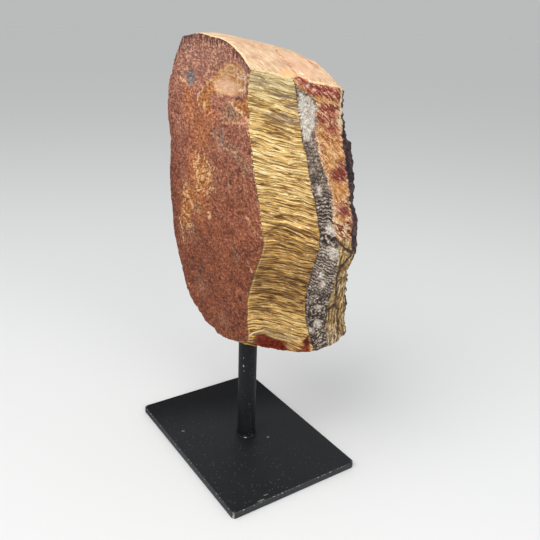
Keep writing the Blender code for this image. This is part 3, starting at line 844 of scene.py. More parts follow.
# the stone's material
stoneColours = {
    "fibres": ((0.0, (0.075, 0.031, 0.008)), (0.2, (0.18, 0.082, 0.021)), (0.4, (0.38, 0.198, 0.053)),
               (0.6, (0.62, 0.371, 0.116)), (0.8, (0.88, 0.618, 0.239)), (1.0, (1.0, 0.83, 0.445))),
    # how bright the fibres are, from height 110 to 290 mm; partly the fibres' own bands and partly painted
    # shade, darker from about 147 to 191 mm where the face turns downward
    "fibreBandsAndShade": ((0.0, 0.40), (0.10, 0.50), (0.18, 0.46), (0.205, 0.36), (0.24, 0.31), (0.45, 0.35),
                   (0.468, 0.41), (0.50, 0.46), (0.60, 0.52), (0.66, 0.60), (0.77, 0.58), (0.83, 0.52),
                   (0.88, 0.60), (0.905, 0.71), (0.925, 0.63), (0.97, 0.76), (1.0, 0.82)),
    "darkFibre": (0.125, 0.07, 0.034),
    "fibreGlint": (1.0, 0.90, 0.66),
    "quartz": ((0.0, (0.035, 0.025, 0.022)), (0.25, (0.13, 0.09, 0.07)), (0.5, (0.33, 0.26, 0.20)),
               (0.75, (0.62, 0.53, 0.44)), (1.0, (0.95, 0.90, 0.82))),
    # the seam's brightness, stripes and marbling by height, from 118 to 288 mm
    "quartzTones": ((0.0, 0.56), (0.22, 0.54), (0.27, 0.46), (0.36, 0.48), (0.44, 0.48), (0.47, 0.36),
                    (0.60, 0.38), (0.64, 0.42), (0.8, 0.46), (1.0, 0.50)),
    "stripeShare": ((0.0, 0.1), (0.22, 0.25), (0.27, 0.7), (0.44, 0.7), (0.48, 1.0), (0.60, 1.0),
                    (0.66, 0.2), (1.0, 0.2)),
    "marbleShare": ((0.0, 1.0), (0.23, 1.0), (0.29, 0.35), (0.42, 0.3), (0.48, 0.5), (1.0, 0.25)),
    "orange": ((0.0, (0.15, 0.032, 0.014)), (0.3, (0.34, 0.105, 0.042)), (0.55, (0.54, 0.235, 0.095)),
               (0.8, (0.78, 0.46, 0.21)), (1.0, (0.95, 0.72, 0.46))),
    "maroon": ((0.0, (0.181, 0.037, 0.025)), (0.4, (0.411, 0.103, 0.062)), (0.7, (0.677, 0.242, 0.161)),
               (1.0, (0.968, 0.544, 0.41))),
    "tan": ((0.0, (0.03, 0.018, 0.012)), (0.3, (0.17, 0.095, 0.036)), (0.6, (0.44, 0.27, 0.10)),
            (0.85, (0.72, 0.50, 0.22)), (1.0, (0.86, 0.70, 0.46))),
    "crust": ((0.0, (0.012, 0.009, 0.013)), (0.4, (0.044, 0.024, 0.029)), (0.7, (0.102, 0.058, 0.058)),
              (1.0, (0.252, 0.17, 0.169))),
    "jasper": ((0.0, (0.076, 0.016, 0.009)), (0.35, (0.204, 0.053, 0.021)), (0.6, (0.337, 0.104, 0.043)),
               (0.85, (0.51, 0.194, 0.09)), (1.0, (0.733, 0.378, 0.207))),
    "jasperHigh": ((0.0, (0.071, 0.022, 0.016)), (0.3, (0.193, 0.062, 0.039)), (0.55, (0.385, 0.15, 0.091)),
                   (0.8, (0.629, 0.309, 0.196)), (1.0, (0.873, 0.563, 0.393))),
    # how bright the jasper is, from 90 to 305 mm; painted light, brighter towards the top where the light
    # from above falls
    "jasperPaintedLight": ((0.0, 0.28), (0.3, 0.325), (0.55, 0.44), (0.75, 0.47), (0.88, 0.56), (0.95, 0.62),
                    (1.0, 0.58)),
    "jasperPink": (0.68, 0.34, 0.25),
    "jasperDark": (0.085, 0.022, 0.016),
    "peach": ((0.0, (0.303, 0.102, 0.033)), (0.4, (0.488, 0.22, 0.082)), (0.75, (0.622, 0.344, 0.159)),
              (1.0, (0.757, 0.515, 0.274))),
    "cream": (0.834, 0.522, 0.264),
    "white": (0.84, 0.64, 0.52),
    "ochre": ((0.0, (0.242, 0.067, 0.012)), (0.5, (0.419, 0.146, 0.033)), (1.0, (0.661, 0.305, 0.086))),
    "rust": ((0.0, (0.22, 0.055, 0.018)), (0.5, (0.42, 0.125, 0.04)), (1.0, (0.66, 0.28, 0.11))),
    "olive": ((0.0, (0.121, 0.06, 0.032)), (0.5, (0.279, 0.15, 0.076)), (1.0, (0.539, 0.361, 0.232))),
    "stain": (0.045, 0.022, 0.02),
    "greyBlue": ((0.0, (0.13, 0.105, 0.10)), (1.0, (0.33, 0.30, 0.29))),
    "plum": (0.20, 0.095, 0.078),
    "teeth": (0.075, 0.026, 0.024),
    "top": ((0.0, (0.385, 0.201, 0.118)), (0.4, (0.577, 0.365, 0.225)), (0.7, (0.673, 0.474, 0.298)),
            (1.0, (0.788, 0.638, 0.423))),
    "topRim": (0.902, 0.665, 0.361),
    "topPink": (0.74, 0.42, 0.27),
    "seam": (0.06, 0.038, 0.03),
    "red": ((0.0, (0.081, 0.004, 0.001)), (0.5, (0.21, 0.024, 0.007)), (1.0, (0.357, 0.074, 0.025))),
}


def swung(value, amount):
    # the value's swing about its middle, times an amount
    return (value - 0.5) * amount


def toneByHeight(value, low, span, stops):
    return ramped((value - low) / span, [(place, (tone,) * 3) for place, tone in stops])


def thinLines(vector, sizes, width, detail=1.0):
    # thin winding lines, dark gaps between threads
    return ranged(abs(noisy(vector, sizes, detail, 0.6) - 0.5), width, 0.15 * width)


def fibrePattern(stone):
    # long fine lines that follow the slab's height; dark lines sit in the hollows, partly the fibres' own
    # colour and partly painted shade, and the raised ridges are painted a little lighter
    fine = noisy(stone.fibrePlace, (17, 24, 0.62), 2.0, 0.65)
    wide = noisy(stone.fibrePlace, (16, 30, 3.2), 2.0, 0.5)
    short = noisy(stone.fibrePlace, (3.4, 5.2, 0.5), 2.0, 0.6)
    gapsAndShade = thinLines(stone.fibrePlace, (20, 26, 1.15), 0.07) * ranged(short, 0.3, 0.62, 0.3, 1.0)
    threads = thinLines(stone.fibrePlace, (16, 20, 1.8), 0.06)
    tone = (toneByHeight(stone.height, 110, 180, stoneColours["fibreBandsAndShade"]) + swung(fine, 1.1)
            + swung(wide, 0.38) + swung(short, 0.82) + stone.ridges * 0.09 + stone.darkFibres * -0.3
            + threads * 0.15 + gapsAndShade * -0.6 + 0.125)
    colour = ramped(clamped(tone), stoneColours["fibres"])
    colour = mixed(ranged(stone.height, 245, 195), colour, (1.0, 0.95, 0.86), "MULTIPLY")
    dashes = ranged(short, 0.45, 0.34) * blended(stone.darkFibres, 0.2, 0.9)
    colour = mixed(dashes, colour, stoneColours["darkFibre"])
    colour = mixed(stone.green * 0.35, colour, mixed(fine, (0.15, 0.115, 0.07), (0.66, 0.56, 0.36)))
    colour = mixed(stone.darkFibres * 0.3, colour, (0.46, 0.39, 0.3))
    # painted glints: pale flecks on the brighter fibres stand in for the fibres' shine
    glints = ranged(noisy(stone.fibrePlace, (1.3, 2.2, 0.8), 1.0), 0.62, 0.7)
    glints = glints * ranged(tone, 0.3, 0.65)
    heights = fine + gapsAndShade * -0.5 + threads * 0.15
    return (mixed(glints * 0.8, colour, stoneColours["fibreGlint"]), heights)


def quartzPattern(stone):
    # white crystals on top, grey speckle, wavy dark stripes, pale stripes, then black and white marbling
    grains = partsOf(cellular(stone.place, (1.1, 1.1, 0.95), "Color"))[0]
    clouds = noisy(stone.place, 4.5, 3.0, 0.6)
    swing = noisy(stone.place, (4, 4, 6), 2.0, 0.6)
    stripes = calc("SINE", stone.fibreHeight * 3.0 + swing * 13)
    marble = thinLines(stone.place, (3.4, 3.4, 2.9), 0.11, 2.0)
    speckle = noisy(stone.place, (1.3, 1.3, 1.1), 2.0, 0.7)
    zones = {name: toneByHeight(stone.height, 118, 170, stoneColours[name])
             for name in ("quartzTones", "stripeShare", "marbleShare")}
    dark = (zones["quartzTones"] + swung(grains, 0.2) + swung(speckle, 0.8) + swung(clouds, 1.0) + 0.03
            + stripes * zones["stripeShare"] * 0.36 + marble * zones["marbleShare"] * -0.62)
    pale = 0.83 + swung(grains, 0.26) + swung(speckle, 0.9) + swung(clouds, 0.5)
    tone = blended(stone.whiteQuartz, dark, pale)
    return (ramped(clamped(tone), stoneColours["quartz"]), grains)


def backPattern(stone):
    # orange mottle in slanting streaks above, golden brown with black veins lower down
    spots = noisy(stone.place, (2.6, 2.6, 2.0), 3.0, 0.65, 0.6)
    streaks = noisy(stone.slantPlace, (6, 6.5, 1.5), 3.0, 0.68, 0.5)
    fine = noisy(stone.place, (0.9, 0.9, 0.8), 1.0)
    creases = thinLines(stone.slantPlace, (7, 8, 3.2), 0.05, 2.0)
    tone = 0.53 + swung(spots, 2.0) + swung(streaks, 3.6) + swung(fine, 0.9) + creases * -0.34
    lifted = calc("ADD", tone, stone.orange * 0.13, True)
    colour = ramped(lifted, stoneColours["orange"])
    colour = mixed(stone.orange * 0.62, colour, mixed(spots, (0.62, 0.19, 0.035), (0.96, 0.56, 0.16)))
    mottle = noisy(stone.slantPlace, (5, 5, 2.6), 3.0, 0.7, 0.6)
    reddish = largest(stone.maroon, ranged(mottle, 0.5, 0.58) * ranged(stone.height, 246, 262, 0.12, 0.9))
    colour = mixed(reddish, colour, ramped(clamped(tone), stoneColours["maroon"]))
    crumbs = ranged(mottle, 0.47, 0.4) * ranged(fine, 0.5, 0.6)
    colour = mixed(crumbs * calc("SUBTRACT", 0.75, stone.maroon, True), colour, (0.93, 0.72, 0.47))
    grown = noisy(stone.place, (5, 1.3, 7), 3.0, 0.7, 0.4)
    tanTone = 0.54 + swung(grown, 3.2) + swung(spots, 0.9) + swung(fine, 0.6)
    lower = ranged(stone.height + spots * 14, 211, 204)
    bands = calc("SINE", stone.height * 2.1 + spots * 7)
    foot = ranged(stone.height, 140, 128) * ranged(grown, 0.42, 0.56)
    tan = ramped(tanTone + bands * foot * 0.2, stoneColours["tan"])
    tan = mixed(foot * 0.6, tan, mixed(ranged(tanTone, 0.3, 0.75), (0.07, 0.05, 0.04), (0.66, 0.58, 0.48)))
    colour = mixed(lower, colour, tan)
    pale = stone.paleOrange * ranged(tone, 0.2, 0.6)
    colour = mixed(pale * 0.85, colour, (0.95, 0.72, 0.46))
    deep = stone.maroon * ranged(stone.height, 262, 250)
    colour = mixed(deep * ranged(mottle, 0.62, 0.42, 0.25, 0.9), colour, (0.16, 0.022, 0.016))
    # cream and orange crumbs along the quartz, and a cream rim at the top of the far corner
    border = ranged(stone.pastQuartz + swung(mottle, 9.0), 3.2, 1.0)
    border = border * (ranged(stone.height, 210, 218) * ranged(stone.height, 272, 262))
    colour = mixed(border * 0.8, colour, mixed(ranged(fine, 0.4, 0.58), (0.58, 0.19, 0.06),
                                               (0.93, 0.74, 0.5)))
    corner = ranged(stone.beforeBack + swung(mottle, 6.0), 2.6, 1.2) * ranged(stone.height, 262, 272)
    colour = mixed(corner * 0.85, colour, (0.93, 0.74, 0.48))
    return (mixed(stone.vein, colour, stoneColours["seam"]), spots, tone)


def jasperPattern(stone):
    # speckled: random small grains over patches of two larger sizes, cooler and pinker towards the top, and
    # painted lighter towards the top where the light from above falls
    grain, other, third = partsOf(cellular(stone.place, (1.5, 1.2, 0.85), "Color"))
    medium = noisy(stone.place, (2.6, 2.0, 1.7), 4.0, 0.72, 0.4)
    patches = noisy(stone.place, (12, 10, 9), 4.0, 0.65, 0.6)
    upper = ranged(stone.up + swung(patches, 90), 170, 290)
    tone = (toneByHeight(stone.up, 90, 215, stoneColours["jasperPaintedLight"])
            + (grain - 0.5) * blended(upper, 0.34, 0.26) + (medium - 0.5) * blended(upper, 1.8, 1.6)
            + swung(patches, 0.75) + stone.leftEnd * -0.12)
    tone = clamped(tone)
    colour = mixed(upper, ramped(tone, stoneColours["jasper"]), ramped(tone, stoneColours["jasperHigh"]))
    share = blended(upper, 0.25, 0.6)
    colour = mixed(ranged(other, 0.86, 0.92) * share, colour, stoneColours["jasperPink"])
    darkGrains = ranged(third, 0.14, 0.08) * ranged(patches, 0.62, 0.4, 0.2, 0.8)
    return (mixed(darkGrains, colour, stoneColours["jasperDark"]), grain, medium)


def jasperSkin(stone, colour, grain, other):
    # marks over the jasper, each broken up by the grain
    both = 0.5 + swung(grain, 0.16) + swung(other, 1.0)
    shade = ranged(both, 0.36, 0.64)
    patchy = ranged(noisy(stone.place, (3.2, 3.2, 4.2), 3.0, 0.65, 0.8), 0.36, 0.58)
    for mark, amount in (("rust", 0.85), ("olive", 0.8), ("ochre", 0.95)):
        mask = getattr(stone, mark) * blended(patchy, 0.62 * amount, amount)
        colour = mixed(mask, colour, ramped(shade, stoneColours[mark]))
    high = ranged(stone.up + patchy * -14, 262, 282) * ranged(shade, 0.85, 0.2)
    colour = mixed(high * 0.75, colour, stoneColours["plum"])
    smooth = noisy(stone.place, (5, 5, 2.4), 3.0, 0.6, 0.5)
    arcs = thinLines(stone.place, (11, 8, 3.4), 0.05, 2.0)
    peachTone = 0.42 + arcs * 0.3 + swung(smooth, 1.9) + swung(both, 1.2) + stone.pink * 0.16
    colour = mixed(stone.peach, colour, ramped(clamped(peachTone), stoneColours["peach"]))
    rosy = stone.peach * (stone.pink * 0.5)
    colour = mixed(rosy, colour, (0.84, 0.53, 0.38))
    colour = mixed(stone.grey * 0.9, colour, ramped(shade, stoneColours["greyBlue"]))
    # thin pale lines that run round the swirls
    wavy = stone.fromSwirl * 3.0 + smooth * 9
    ripples = ranged(calc("SINE", wavy), 0.35, 0.95) * ranged(stone.fromSwirl, 5.5, 0.5)
    ripples = ripples * ranged(both, 0.42, 0.56)
    pale = largest(ripples * 0.75, stone.cream * ranged(both, 0.38, 0.54))
    near = ranged(stone.fromSwirl, 1.1, 0.3) * ranged(both, 0.44, 0.56)
    pale = largest(pale, near * 0.9)
    colour = mixed(pale, colour, stoneColours["cream"])
    colour = mixed(stone.white * ranged(both, 0.44, 0.6), colour, stoneColours["white"])
    colour = mixed(stone.stain * 0.9, colour, stoneColours["stain"])
    # dark teeth under the top edge
    along = noisy(stone.place, (1.5, 1.5, 7.0), 2.0, 0.6)
    reach = ranged(along, 0.4, 0.62, 0.6, 5.5)
    teeth = ranged(stone.fromTop - reach, 0.7, -0.7)
    return mixed(teeth * 0.85, colour, stoneColours["teeth"])


def topSkin(stone):
    # the broken top: pale streaks across it, a lighter rim, a crack and rusty spots
    turned = made("ShaderNodeMapping", {"Vector": stone.place, "Rotation": (0.0, 0.0, math.radians(38))},
                  vector_type="TEXTURE")
    streaks = noisy(turned, (9, 1.3, 3), 4.0, 0.65)
    clouds = noisy(stone.place, 11, 3.0, 0.6)
    tone = 0.5 + swung(streaks, 2.2) + swung(clouds, 1.2)
    colour = ramped(clamped(tone), stoneColours["top"])
    colour = mixed(stone.pinkTop * 0.4, colour, stoneColours["topPink"])
    nearest = smallest(stone.fromTop * 0.8, stone.fromBandedTop)
    rim = ranged(nearest + clouds * 5, 4.6, 2.6)
    colour = mixed(rim * 0.85, colour, stoneColours["topRim"])
    colour = mixed(stone.topOrange * 0.6, colour, (0.86, 0.42, 0.16))
    colour = mixed(largest(stone.topRust, stone.dent) * 0.8, colour, (0.46, 0.15, 0.09))
    return mixed(stone.topCrack * 0.8, colour, (0.36, 0.19, 0.13))


def chipPattern(stone, fibres, shade):
    # the chip at the foot of the banded face: pale rings, a deep red floor and a dark red end
    ringWave = calc("SINE", stone.height * 2.9 + shade * 3.0)
    rings = ramped(ranged(ringWave, -0.9, 0.9), ((0.0, (0.17, 0.07, 0.018)), (0.5, (0.46, 0.24, 0.06)),
                                                 (1.0, (0.74, 0.45, 0.13))))
    colour = mixed(stone.chipRings, fibres, rings)
    outline = calc("MULTIPLY", stone.chipRings * (1.0 - stone.chipRings), 3.4, True)
    colour = mixed(outline * 0.8, colour, (0.14, 0.055, 0.018))
    floor = ramped(0.05 + shade * 0.8 + stone.redEnd * -0.6, stoneColours["red"])
    colour = mixed(stone.red, colour, floor)
    return mixed(stone.chipRim * 0.85, colour, (1.0, 0.8, 0.5))


def crustPattern(stone, spots, grain):
    # dark ironstone: black hollows, brown lumps, rusty stains and thin pale lines
    lumps = cellular(stone.place, 7)
    clouds = noisy(stone.place, (22, 22, 26), 4.0, 0.65, 0.5)
    tone = 0.42 + swung(spots, 1.5) + swung(grain, 0.22) + swung(clouds, 1.2) + (lumps - 0.45) * -0.6
    colour = ramped(clamped(tone), stoneColours["crust"])
    rusty = ranged(clouds, 0.5, 0.66) * ranged(tone, 0.25, 0.6)
    rusty = rusty * ranged(stone.beforeBack, -4, -12, 0.12, 0.8)
    colour = mixed(rusty, colour, ramped(ranged(spots, 0.3, 0.7), stoneColours["rust"]))
    creases = thinLines(stone.place, (34, 34, 26), 0.012, 3.0) * ranged(clouds, 0.52, 0.4)
    return mixed(creases * 0.6, colour, (0.34, 0.27, 0.21))


def readStone(tree):
    # everything that the stone's patterns read, by name
    place = positionInMm(tree)
    x, y, up = axesOf(place)
    stone = types.SimpleNamespace(place=place, up=up)
    for layer, names in painted.items():
        vars(stone).update(zip(names, surfaceData(tree, layer)))
    stone.fibrePlace = joined(x, y, stone.fibreHeight)
    stone.slantPlace = joined(x, y, stone.height + y * 0.5)
    return stone


def makeStoneMaterial():
    material, tree, shader = newMaterial("tigersEyeStone")
    stone = readStone(tree)
    fibres, fibreHeights = fibrePattern(stone)
    quartz, crystals = quartzPattern(stone)
    back, spots, backTone = backPattern(stone)
    jasper, grain, other = jasperPattern(stone)
    fibres = chipPattern(stone, fibres, ranged(spots, 0.3, 0.7))
    isQuartz = ranged(stone.pastGold + swung(spots, 2.0), -0.3, 0.3)
    isBack = ranged(stone.pastQuartz + swung(spots, 7.0), -0.5, 0.5)
    isCrust = ranged(stone.beforeBack + swung(spots, 3.2), 0.6, -0.6)
    isJasper = ranged(stone.inJasper + swung(spots, 1.0), 0.25, -0.15)
    colour = mixed(isQuartz, fibres, quartz)
    seam = ranged(abs(stone.pastGold - 0.2), 1.1, 0.2) * ranged(crystals, 0.75, 0.35)
    colour = mixed(seam * 0.9, colour, stoneColours["seam"])
    colour = mixed(isBack, colour, back)
    # a thin dark line and a pale one follow the jasper in the lower half
    low = ranged(stone.height, 200, 190)
    darkLine = low * ranged(abs(stone.inJasper - 0.4), 0.5, 0.15)
    paleLine = low * ranged(abs(stone.inJasper - 1.4), 0.8, 0.2)
    colour = mixed(paleLine * ranged(spots, 0.35, 0.65, 0.0, 0.5), colour, (0.8, 0.54, 0.22))
    colour = mixed(isJasper, colour, jasper)
    colour = mixed(darkLine * 0.8, colour, (0.1, 0.05, 0.03))
    crust = crustPattern(stone, spots, grain)
    colour = mixed(isCrust, colour, crust)
    colour = mixed(stone.crack * 0.65, colour, (0.1, 0.05, 0.02))
    for side, skin in (("jasperSide", jasperSkin(stone, jasper, grain, other)), ("topSide", topSkin(stone)),
                       ("crustSide", crust)):
        edge = ranged(getattr(stone, side) + swung(grain, 0.25), 0.38, 0.58)
        colour = mixed(edge, colour, skin)
    # broken dark and pale bits along the corner between the jasper and the fibres
    nearCorner = ranged(stone.fromCorner + swung(spots, 3.0), 1.3, 0.5)
    bits = ranged(noisy(stone.place, (1.6, 1.6, 1.5), 2.0, 0.7), 0.42, 0.58)
    bitShare = nearCorner * ranged(abs(swung(bits, 2.0)), 0.3, 0.8, 0.0, 0.75)
    colour = mixed(bitShare * ranged(stone.height, 185, 205), colour,
                   mixed(bits, (0.09, 0.035, 0.02), (0.88, 0.66, 0.38)))
    colour = mixed(stone.whiteTop * 0.75, colour, (0.93, 0.82, 0.64))
    plug(shader.inputs["Base Color"], colour)
    gloss = blended(ranged(fibreHeights, 0.3, 0.7), 0.7, 0.48)
    gloss = blended(isQuartz, gloss, blended(crystals, 0.4, 0.75))
    dull = largest(stone.jasperSide, stone.topSide)
    plug(shader.inputs["Roughness"], blended(dull, gloss, blended(grain, 0.68, 0.92)))
    shader.inputs["Specular IOR Level"].default_value = 0.25
    bumps = blended(isQuartz, fibreHeights, crystals * 0.4 + backTone * 0.7)
    bumps = blended(stone.jasperSide, bumps, (grain + other) * 0.5)
    bumps = blended(stone.topSide, bumps, grain * 0.5)
    plug(shader.inputs["Normal"], bumped(bumps, 0.85, 1.3))
    return material


stonePiece = placed("tigersEyeRough", stoneMesh, makeStoneMaterial())
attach(stonePiece, "root")
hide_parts("tigers_eye_stone")
print("stone finished")


# the stand's coat
def makeCoatGroup():
    # satin powder coat: orange peel, dust specks and bare metal where it has worn away; the last input also
    # makes it duller and paints shade into it, darkening it towards black
    group = bpy.data.node_groups.new("satinCoat", "ShaderNodeTree")
    for name, kind in (("Position", "NodeSocketVector"), ("Wear", "NodeSocketFloat"),
                       ("Chips", "NodeSocketFloat"), ("DustAndSheen", "NodeSocketFloat"),
                       ("DullAndShade", "NodeSocketFloat")):
        group.interface.new_socket(name, in_out="INPUT", socket_type=kind)
    for name, kind in (("Color", "NodeSocketColor"), ("Roughness", "NodeSocketFloat"),
                       ("Metallic", "NodeSocketFloat"), ("Height", "NodeSocketFloat")):
        group.interface.new_socket(name, in_out="OUTPUT", socket_type=kind)
    given = {socket.name: Value(socket) for socket in group.nodes.new("NodeGroupInput").outputs}
    results = group.nodes.new("NodeGroupOutput").inputs
    place = given["Position"]
    cloud = noisy(place, 18, 3.0, 0.6)
    peel = noisy(place, 0.7, 2.0)
    ragged = noisy(place, 2.4, 4.0, 0.7)
    bare = largest(ranged(given["Wear"] + swung(ragged, 1.5), 0.55, 0.72), given["Chips"])
    near = cellular(place, 1.9)
    chance = partsOf(cellular(place, 1.9, "Color"))[0]
    specks = ranged(near, 0.22, 0.1) * ranged(chance, 0.5, 0.6)
    # the dust value sets how many pale specks show; on the plate it also paints a sheen that lightens the
    # front
    specks = specks * given["DustAndSheen"]
    edgeTone = ranged(given["Wear"], 0.05, 0.34)
    colour = mixed(cloud, (0.0055, 0.0062, 0.0078), (0.0128, 0.0135, 0.0158))
    # painted shade: darker towards black where the last input rises
    colour = mixed(given["DullAndShade"], colour, (0.002, 0.0022, 0.003))
    colour = mixed(edgeTone, colour, (0.032, 0.034, 0.036))
    colour = mixed(specks, colour, (0.13, 0.13, 0.13))
    metal = mixed(ragged, (0.26, 0.24, 0.22), (0.52, 0.5, 0.47))
    plug(results["Color"], mixed(bare, colour, metal))
    coatRough = blended(given["DullAndShade"], blended(cloud, 0.44, 0.58), 0.86)
    plug(results["Roughness"], blended(bare, coatRough, 0.42))
    plug(results["Metallic"], bare * 0.85)
    plug(results["Height"], peel * 0.35 - bare * 0.5)
    return group


coatGroup = makeCoatGroup()


# the last value makes the coat duller and paints shade into it
def finishCoat(shader, place, wear, chips, dustAndSheen, dull):
    given = {"Position": place, "Wear": wear, "Chips": chips, "DustAndSheen": dustAndSheen, "DullAndShade": dull}
    coat = addNode(shader.id_data, "ShaderNodeGroup", node_tree=coatGroup)
    for name, value in given.items():
        plug(coat.inputs[name], value)
    results = {socket.name: Value(socket) for socket in coat.outputs}
    plug(shader.inputs["Base Color"], results["Color"])
    plug(shader.inputs["Roughness"], results["Roughness"])
    plug(shader.inputs["Metallic"], results["Metallic"])
    shader.inputs["Specular IOR Level"].default_value = 0.2
    plug(shader.inputs["Normal"], bumped(results["Height"], 0.5, 0.25))


def spotMask(place, spots):
    # 1 inside oval spots on a surface
    masks = []
    for centre, sizes in spots:
        offset = made("ShaderNodeVectorMath", {0: place, 1: centre}, operation="SUBTRACT")
        reach = made("ShaderNodeVectorMath", {0: scaled(offset, sizes)}, "Value", operation="LENGTH")
        masks.append(ranged(reach, 1.1, 0.8))
    return largest(*masks)


# the base plate, in millimetres; each scuff is its place and half sizes
plate = {
    "length": 150.0,
    "width": 106.0,
    "thick": 5.0,
    "cornerRadius": 3.0,
    "cornerSteps": 7,
    "edgeBevel": 0.6,
    "scuffs": (((15.8, 13.6, 5), (0.9, 1.3, 1.0)), ((-25.9, -40.5, 5), (0.8, 1.5, 1.0)),
               ((73.4, -30, 5), (0.7, 3.0, 1.0)), ((70.5, -24, 5), (0.5, 2.0, 1.0))),
}


def buildPlate(plate):
    work = bmesh.new()
    halfLength, halfWidth, radius = plate["length"] / 2, plate["width"] / 2, plate["cornerRadius"]
    rim = []
    for quarter in range(4):
        signX, signY = ((1, 1), (-1, 1), (-1, -1), (1, -1))[quarter]
        for step in range(plate["cornerSteps"] + 1):
            angle = math.radians(90 * (quarter + step / plate["cornerSteps"]))
            x = signX * (halfLength - radius) + radius * math.cos(angle)
            y = signY * (halfWidth - radius) + radius * math.sin(angle)
            rim.append(work.verts.new((x * mm, y * mm, 0)))
    bottom = work.faces.new(rim)
    top = bmesh.ops.extrude_face_region(work, geom=[bottom], use_keep_orig=True)["geom"]
    raised = [part for part in top if isinstance(part, bmesh.types.BMVert)]
    bmesh.ops.translate(work, verts=raised, vec=(0, 0, plate["thick"] * mm))
    bmesh.ops.recalc_face_normals(work, faces=work.faces[:])
    edges = [edge for edge in work.edges if abs(edge.calc_face_angle(0)) > math.radians(60)]
    bmesh.ops.bevel(work, geom=edges, offset=plate["edgeBevel"] * mm, affect="EDGES", segments=4,
                    profile=0.5, material=-1)
    for face in work.faces:
        face.smooth = len(face.verts) < 8
    return meshFrom(work, "basePlate")


def makePlateMaterial(plate):
    material, tree, shader = newMaterial("plateCoat")
    place = positionInMm(tree)
    x, y, z = axesOf(place)
    inX = plate["length"] / 2 - abs(x)
    inY = plate["width"] / 2 - abs(y)
    below = smallest(plate["thick"] - z, z)
    rim = largest(smallest(inX, inY), below)
    corner = largest(inX, inY)
    onSide = ranged(smallest(inX, inY), 0.7, 0.3) * 0.28
    wear = largest(ranged(rim, 1.1, 0.1) * 0.56, ranged(corner, 3.5, 0.8) * 0.66, onSide)
    chips = spotMask(place, plate["scuffs"])
    # painted shade: the plate's far left end darkened, along with a duller coat
    shadedFarLeft = ranged(x + y * -0.25, -10, -62)
    # pale specks, more towards the front: partly dust, partly a painted sheen that lightens the front of the
    # plate
    frontDustAndSheen = ranged(x * 0.6 - y, -30, 70, 0.15, 1.0)
    finishCoat(shader, place, wear, chips * 0.4, frontDustAndSheen, shadedFarLeft * 0.9)
    return material


platePiece = placed("basePlate", buildPlate(plate), makePlateMaterial(plate))
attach(platePiece, "root")
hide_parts("base_plate")

# the post, in millimetres; each chip is its place and half sizes
post = {
    "radius": 7.0,
    "foot": 5.05,
    "top": 130.0,
    "weldReach": 1.35,
    "weldHeight": 2.0,
    "weldRipples": 34,
    "turns": 68,
    "rippleDepth": 0.12,
    "chips": (((5.7, -4.3, 76.4), (0.35, 0.35, 0.5)), ((5.8, -4.2, 69.6), (0.6, 0.6, 1.1)),
              ((6.2, -3.9, 65.4), (0.3, 0.3, 0.5)), ((8.3, -2.4, 6.2), (0.8, 2.2, 0.35))),
}


def buildPost(post):
    # one profile spun once round the post's own line, with a rippled weld bead at its foot
    work = bmesh.new()
    radius, foot = post["radius"], post["foot"]
    profile = [(0, foot), (radius + post["weldReach"], foot)]
    for step in range(1, 6):
        angle = math.radians(90 * step / 5)
        profile.append((radius + post["weldReach"] * math.cos(angle),
                        foot + post["weldHeight"] * math.sin(angle)))
    profile += [(radius, foot + height) for height in (4, 15, 35, 60, 90)]
    profile += [(radius, post["top"] - 0.4), (radius - 0.4, post["top"]), (0, post["top"])]
    verts = [work.verts.new((reach * mm, 0, height * mm)) for reach, height in profile]
    edges = [work.edges.new(pair) for pair in zip(verts, verts[1:])]
    bmesh.ops.spin(work, geom=verts + edges, cent=(0, 0, 0), axis=(0, 0, 1), dvec=(0, 0, 0),
                   angle=2 * math.pi, steps=post["turns"], use_merge=True, use_duplicate=False)
    bmesh.ops.remove_doubles(work, verts=work.verts, dist=0.001 * mm)
    for vert in work.verts:
        reach = math.hypot(vert.co.x, vert.co.y) / mm
        if reach > radius + 0.05:
            turn = math.atan2(vert.co.y, vert.co.x)
            ripple = (post["rippleDepth"] * math.sin(post["weldRipples"] * turn) * min(1, reach - radius)
                      - 0.1)
            vert.co.x *= 1 + ripple / reach
            vert.co.y *= 1 + ripple / reach
    bmesh.ops.translate(work, verts=work.verts, vec=(postPlace[0] * mm, postPlace[1] * mm, 0))
    bmesh.ops.recalc_face_normals(work, faces=work.faces[:])
    for face in work.faces:
        face.smooth = abs(face.normal.z) < 0.9
    return meshFrom(work, "standPost")


def makePostMaterial(post):
    material, tree, shader = newMaterial("postCoat")
    place = positionInMm(tree)
    z = axesOf(place)[2]
    foot = ranged(z, 8.0, 5.5) * 0.2
    chips = spotMask(place, post["chips"])
    # painted shade: the post's foot by the plate darkened, along with a duller coat
    finishCoat(shader, place, foot, chips, 0.6, ranged(z, 14.0, 7.0))
    return material


postPiece = placed("standPost", buildPost(post), makePostMaterial(post))
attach(postPiece, "root")
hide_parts("stand_post")
print("stand finished")


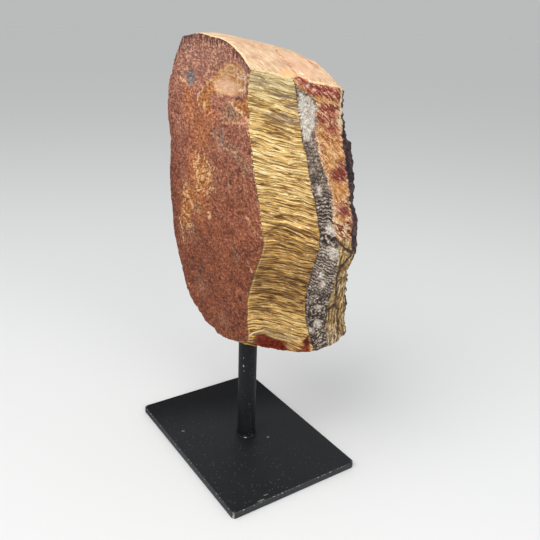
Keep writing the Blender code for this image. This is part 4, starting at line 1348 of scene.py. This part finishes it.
# pale floor and soft light; lengths in metres, the drop in millimetres
studio = {
    "floorSize": 60.0,
    "floorDrop": 0.02,
    "floorColour": (0.696, 0.70, 0.697, 1.0),
    "horizon": (0.490, 0.497, 0.497),
    "zenith": (0.75, 0.755, 0.76),
    "areas": {
        "keySoft": {"place": (0.20, -0.62, 1.10), "aim": (0.0, 0.0, 0.15), "power": 9.2, "size": 0.85},
        "fillRight": {"place": (1.10, -0.10, 0.75), "aim": (0.0, 0.0, 0.2), "power": 6.4, "size": 0.7},
    },
}


def addLight(name, kind, place, aim):
    light = bpy.data.lights.new(name, kind)
    lamp = bpy.data.objects.new(name, light)
    lamp.location = place
    lamp.rotation_euler = (Vector(aim) - Vector(place)).to_track_quat("-Z", "Y").to_euler()
    scene.collection.objects.link(lamp)
    return light


def addFloor(studio):
    work = bmesh.new()
    bmesh.ops.create_grid(work, x_segments=1, y_segments=1, size=studio["floorSize"] / 2)
    bmesh.ops.translate(work, verts=work.verts, vec=(0, 0, -studio["floorDrop"] * mm))
    material, tree, shader = newMaterial("paleFloor")
    shader.inputs["Base Color"].default_value = studio["floorColour"]
    shader.inputs["Roughness"].default_value = 0.8
    shader.inputs["Specular IOR Level"].default_value = 0.1
    floor = placed("paleFloor", meshFrom(work, "paleFloor"), material)
    floor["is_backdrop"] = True


def addStudio(studio):
    addFloor(studio)
    for name, area in studio["areas"].items():
        light = addLight(name, "AREA", area["place"], area["aim"])
        light.energy, light.size = area["power"], area["size"]
    world = bpy.data.worlds.new("studioWorld")
    world.use_nodes = True
    tree = world.node_tree
    up = axesOf(Value(addNode(tree, "ShaderNodeTexCoord").outputs["Generated"]))[2]
    sky = mixed(ranged(up, 0.05, 0.8), studio["horizon"], studio["zenith"])
    plug(tree.nodes["Background"].inputs["Color"], sky)
    scene.world = world
    scene.view_settings.view_transform = "Standard"


addStudio(studio)
print("studio finished")

boxes = {"cad": cadBox, "visual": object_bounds()}
{name: [list(corner) for corner in box] for name, box in boxes.items()}
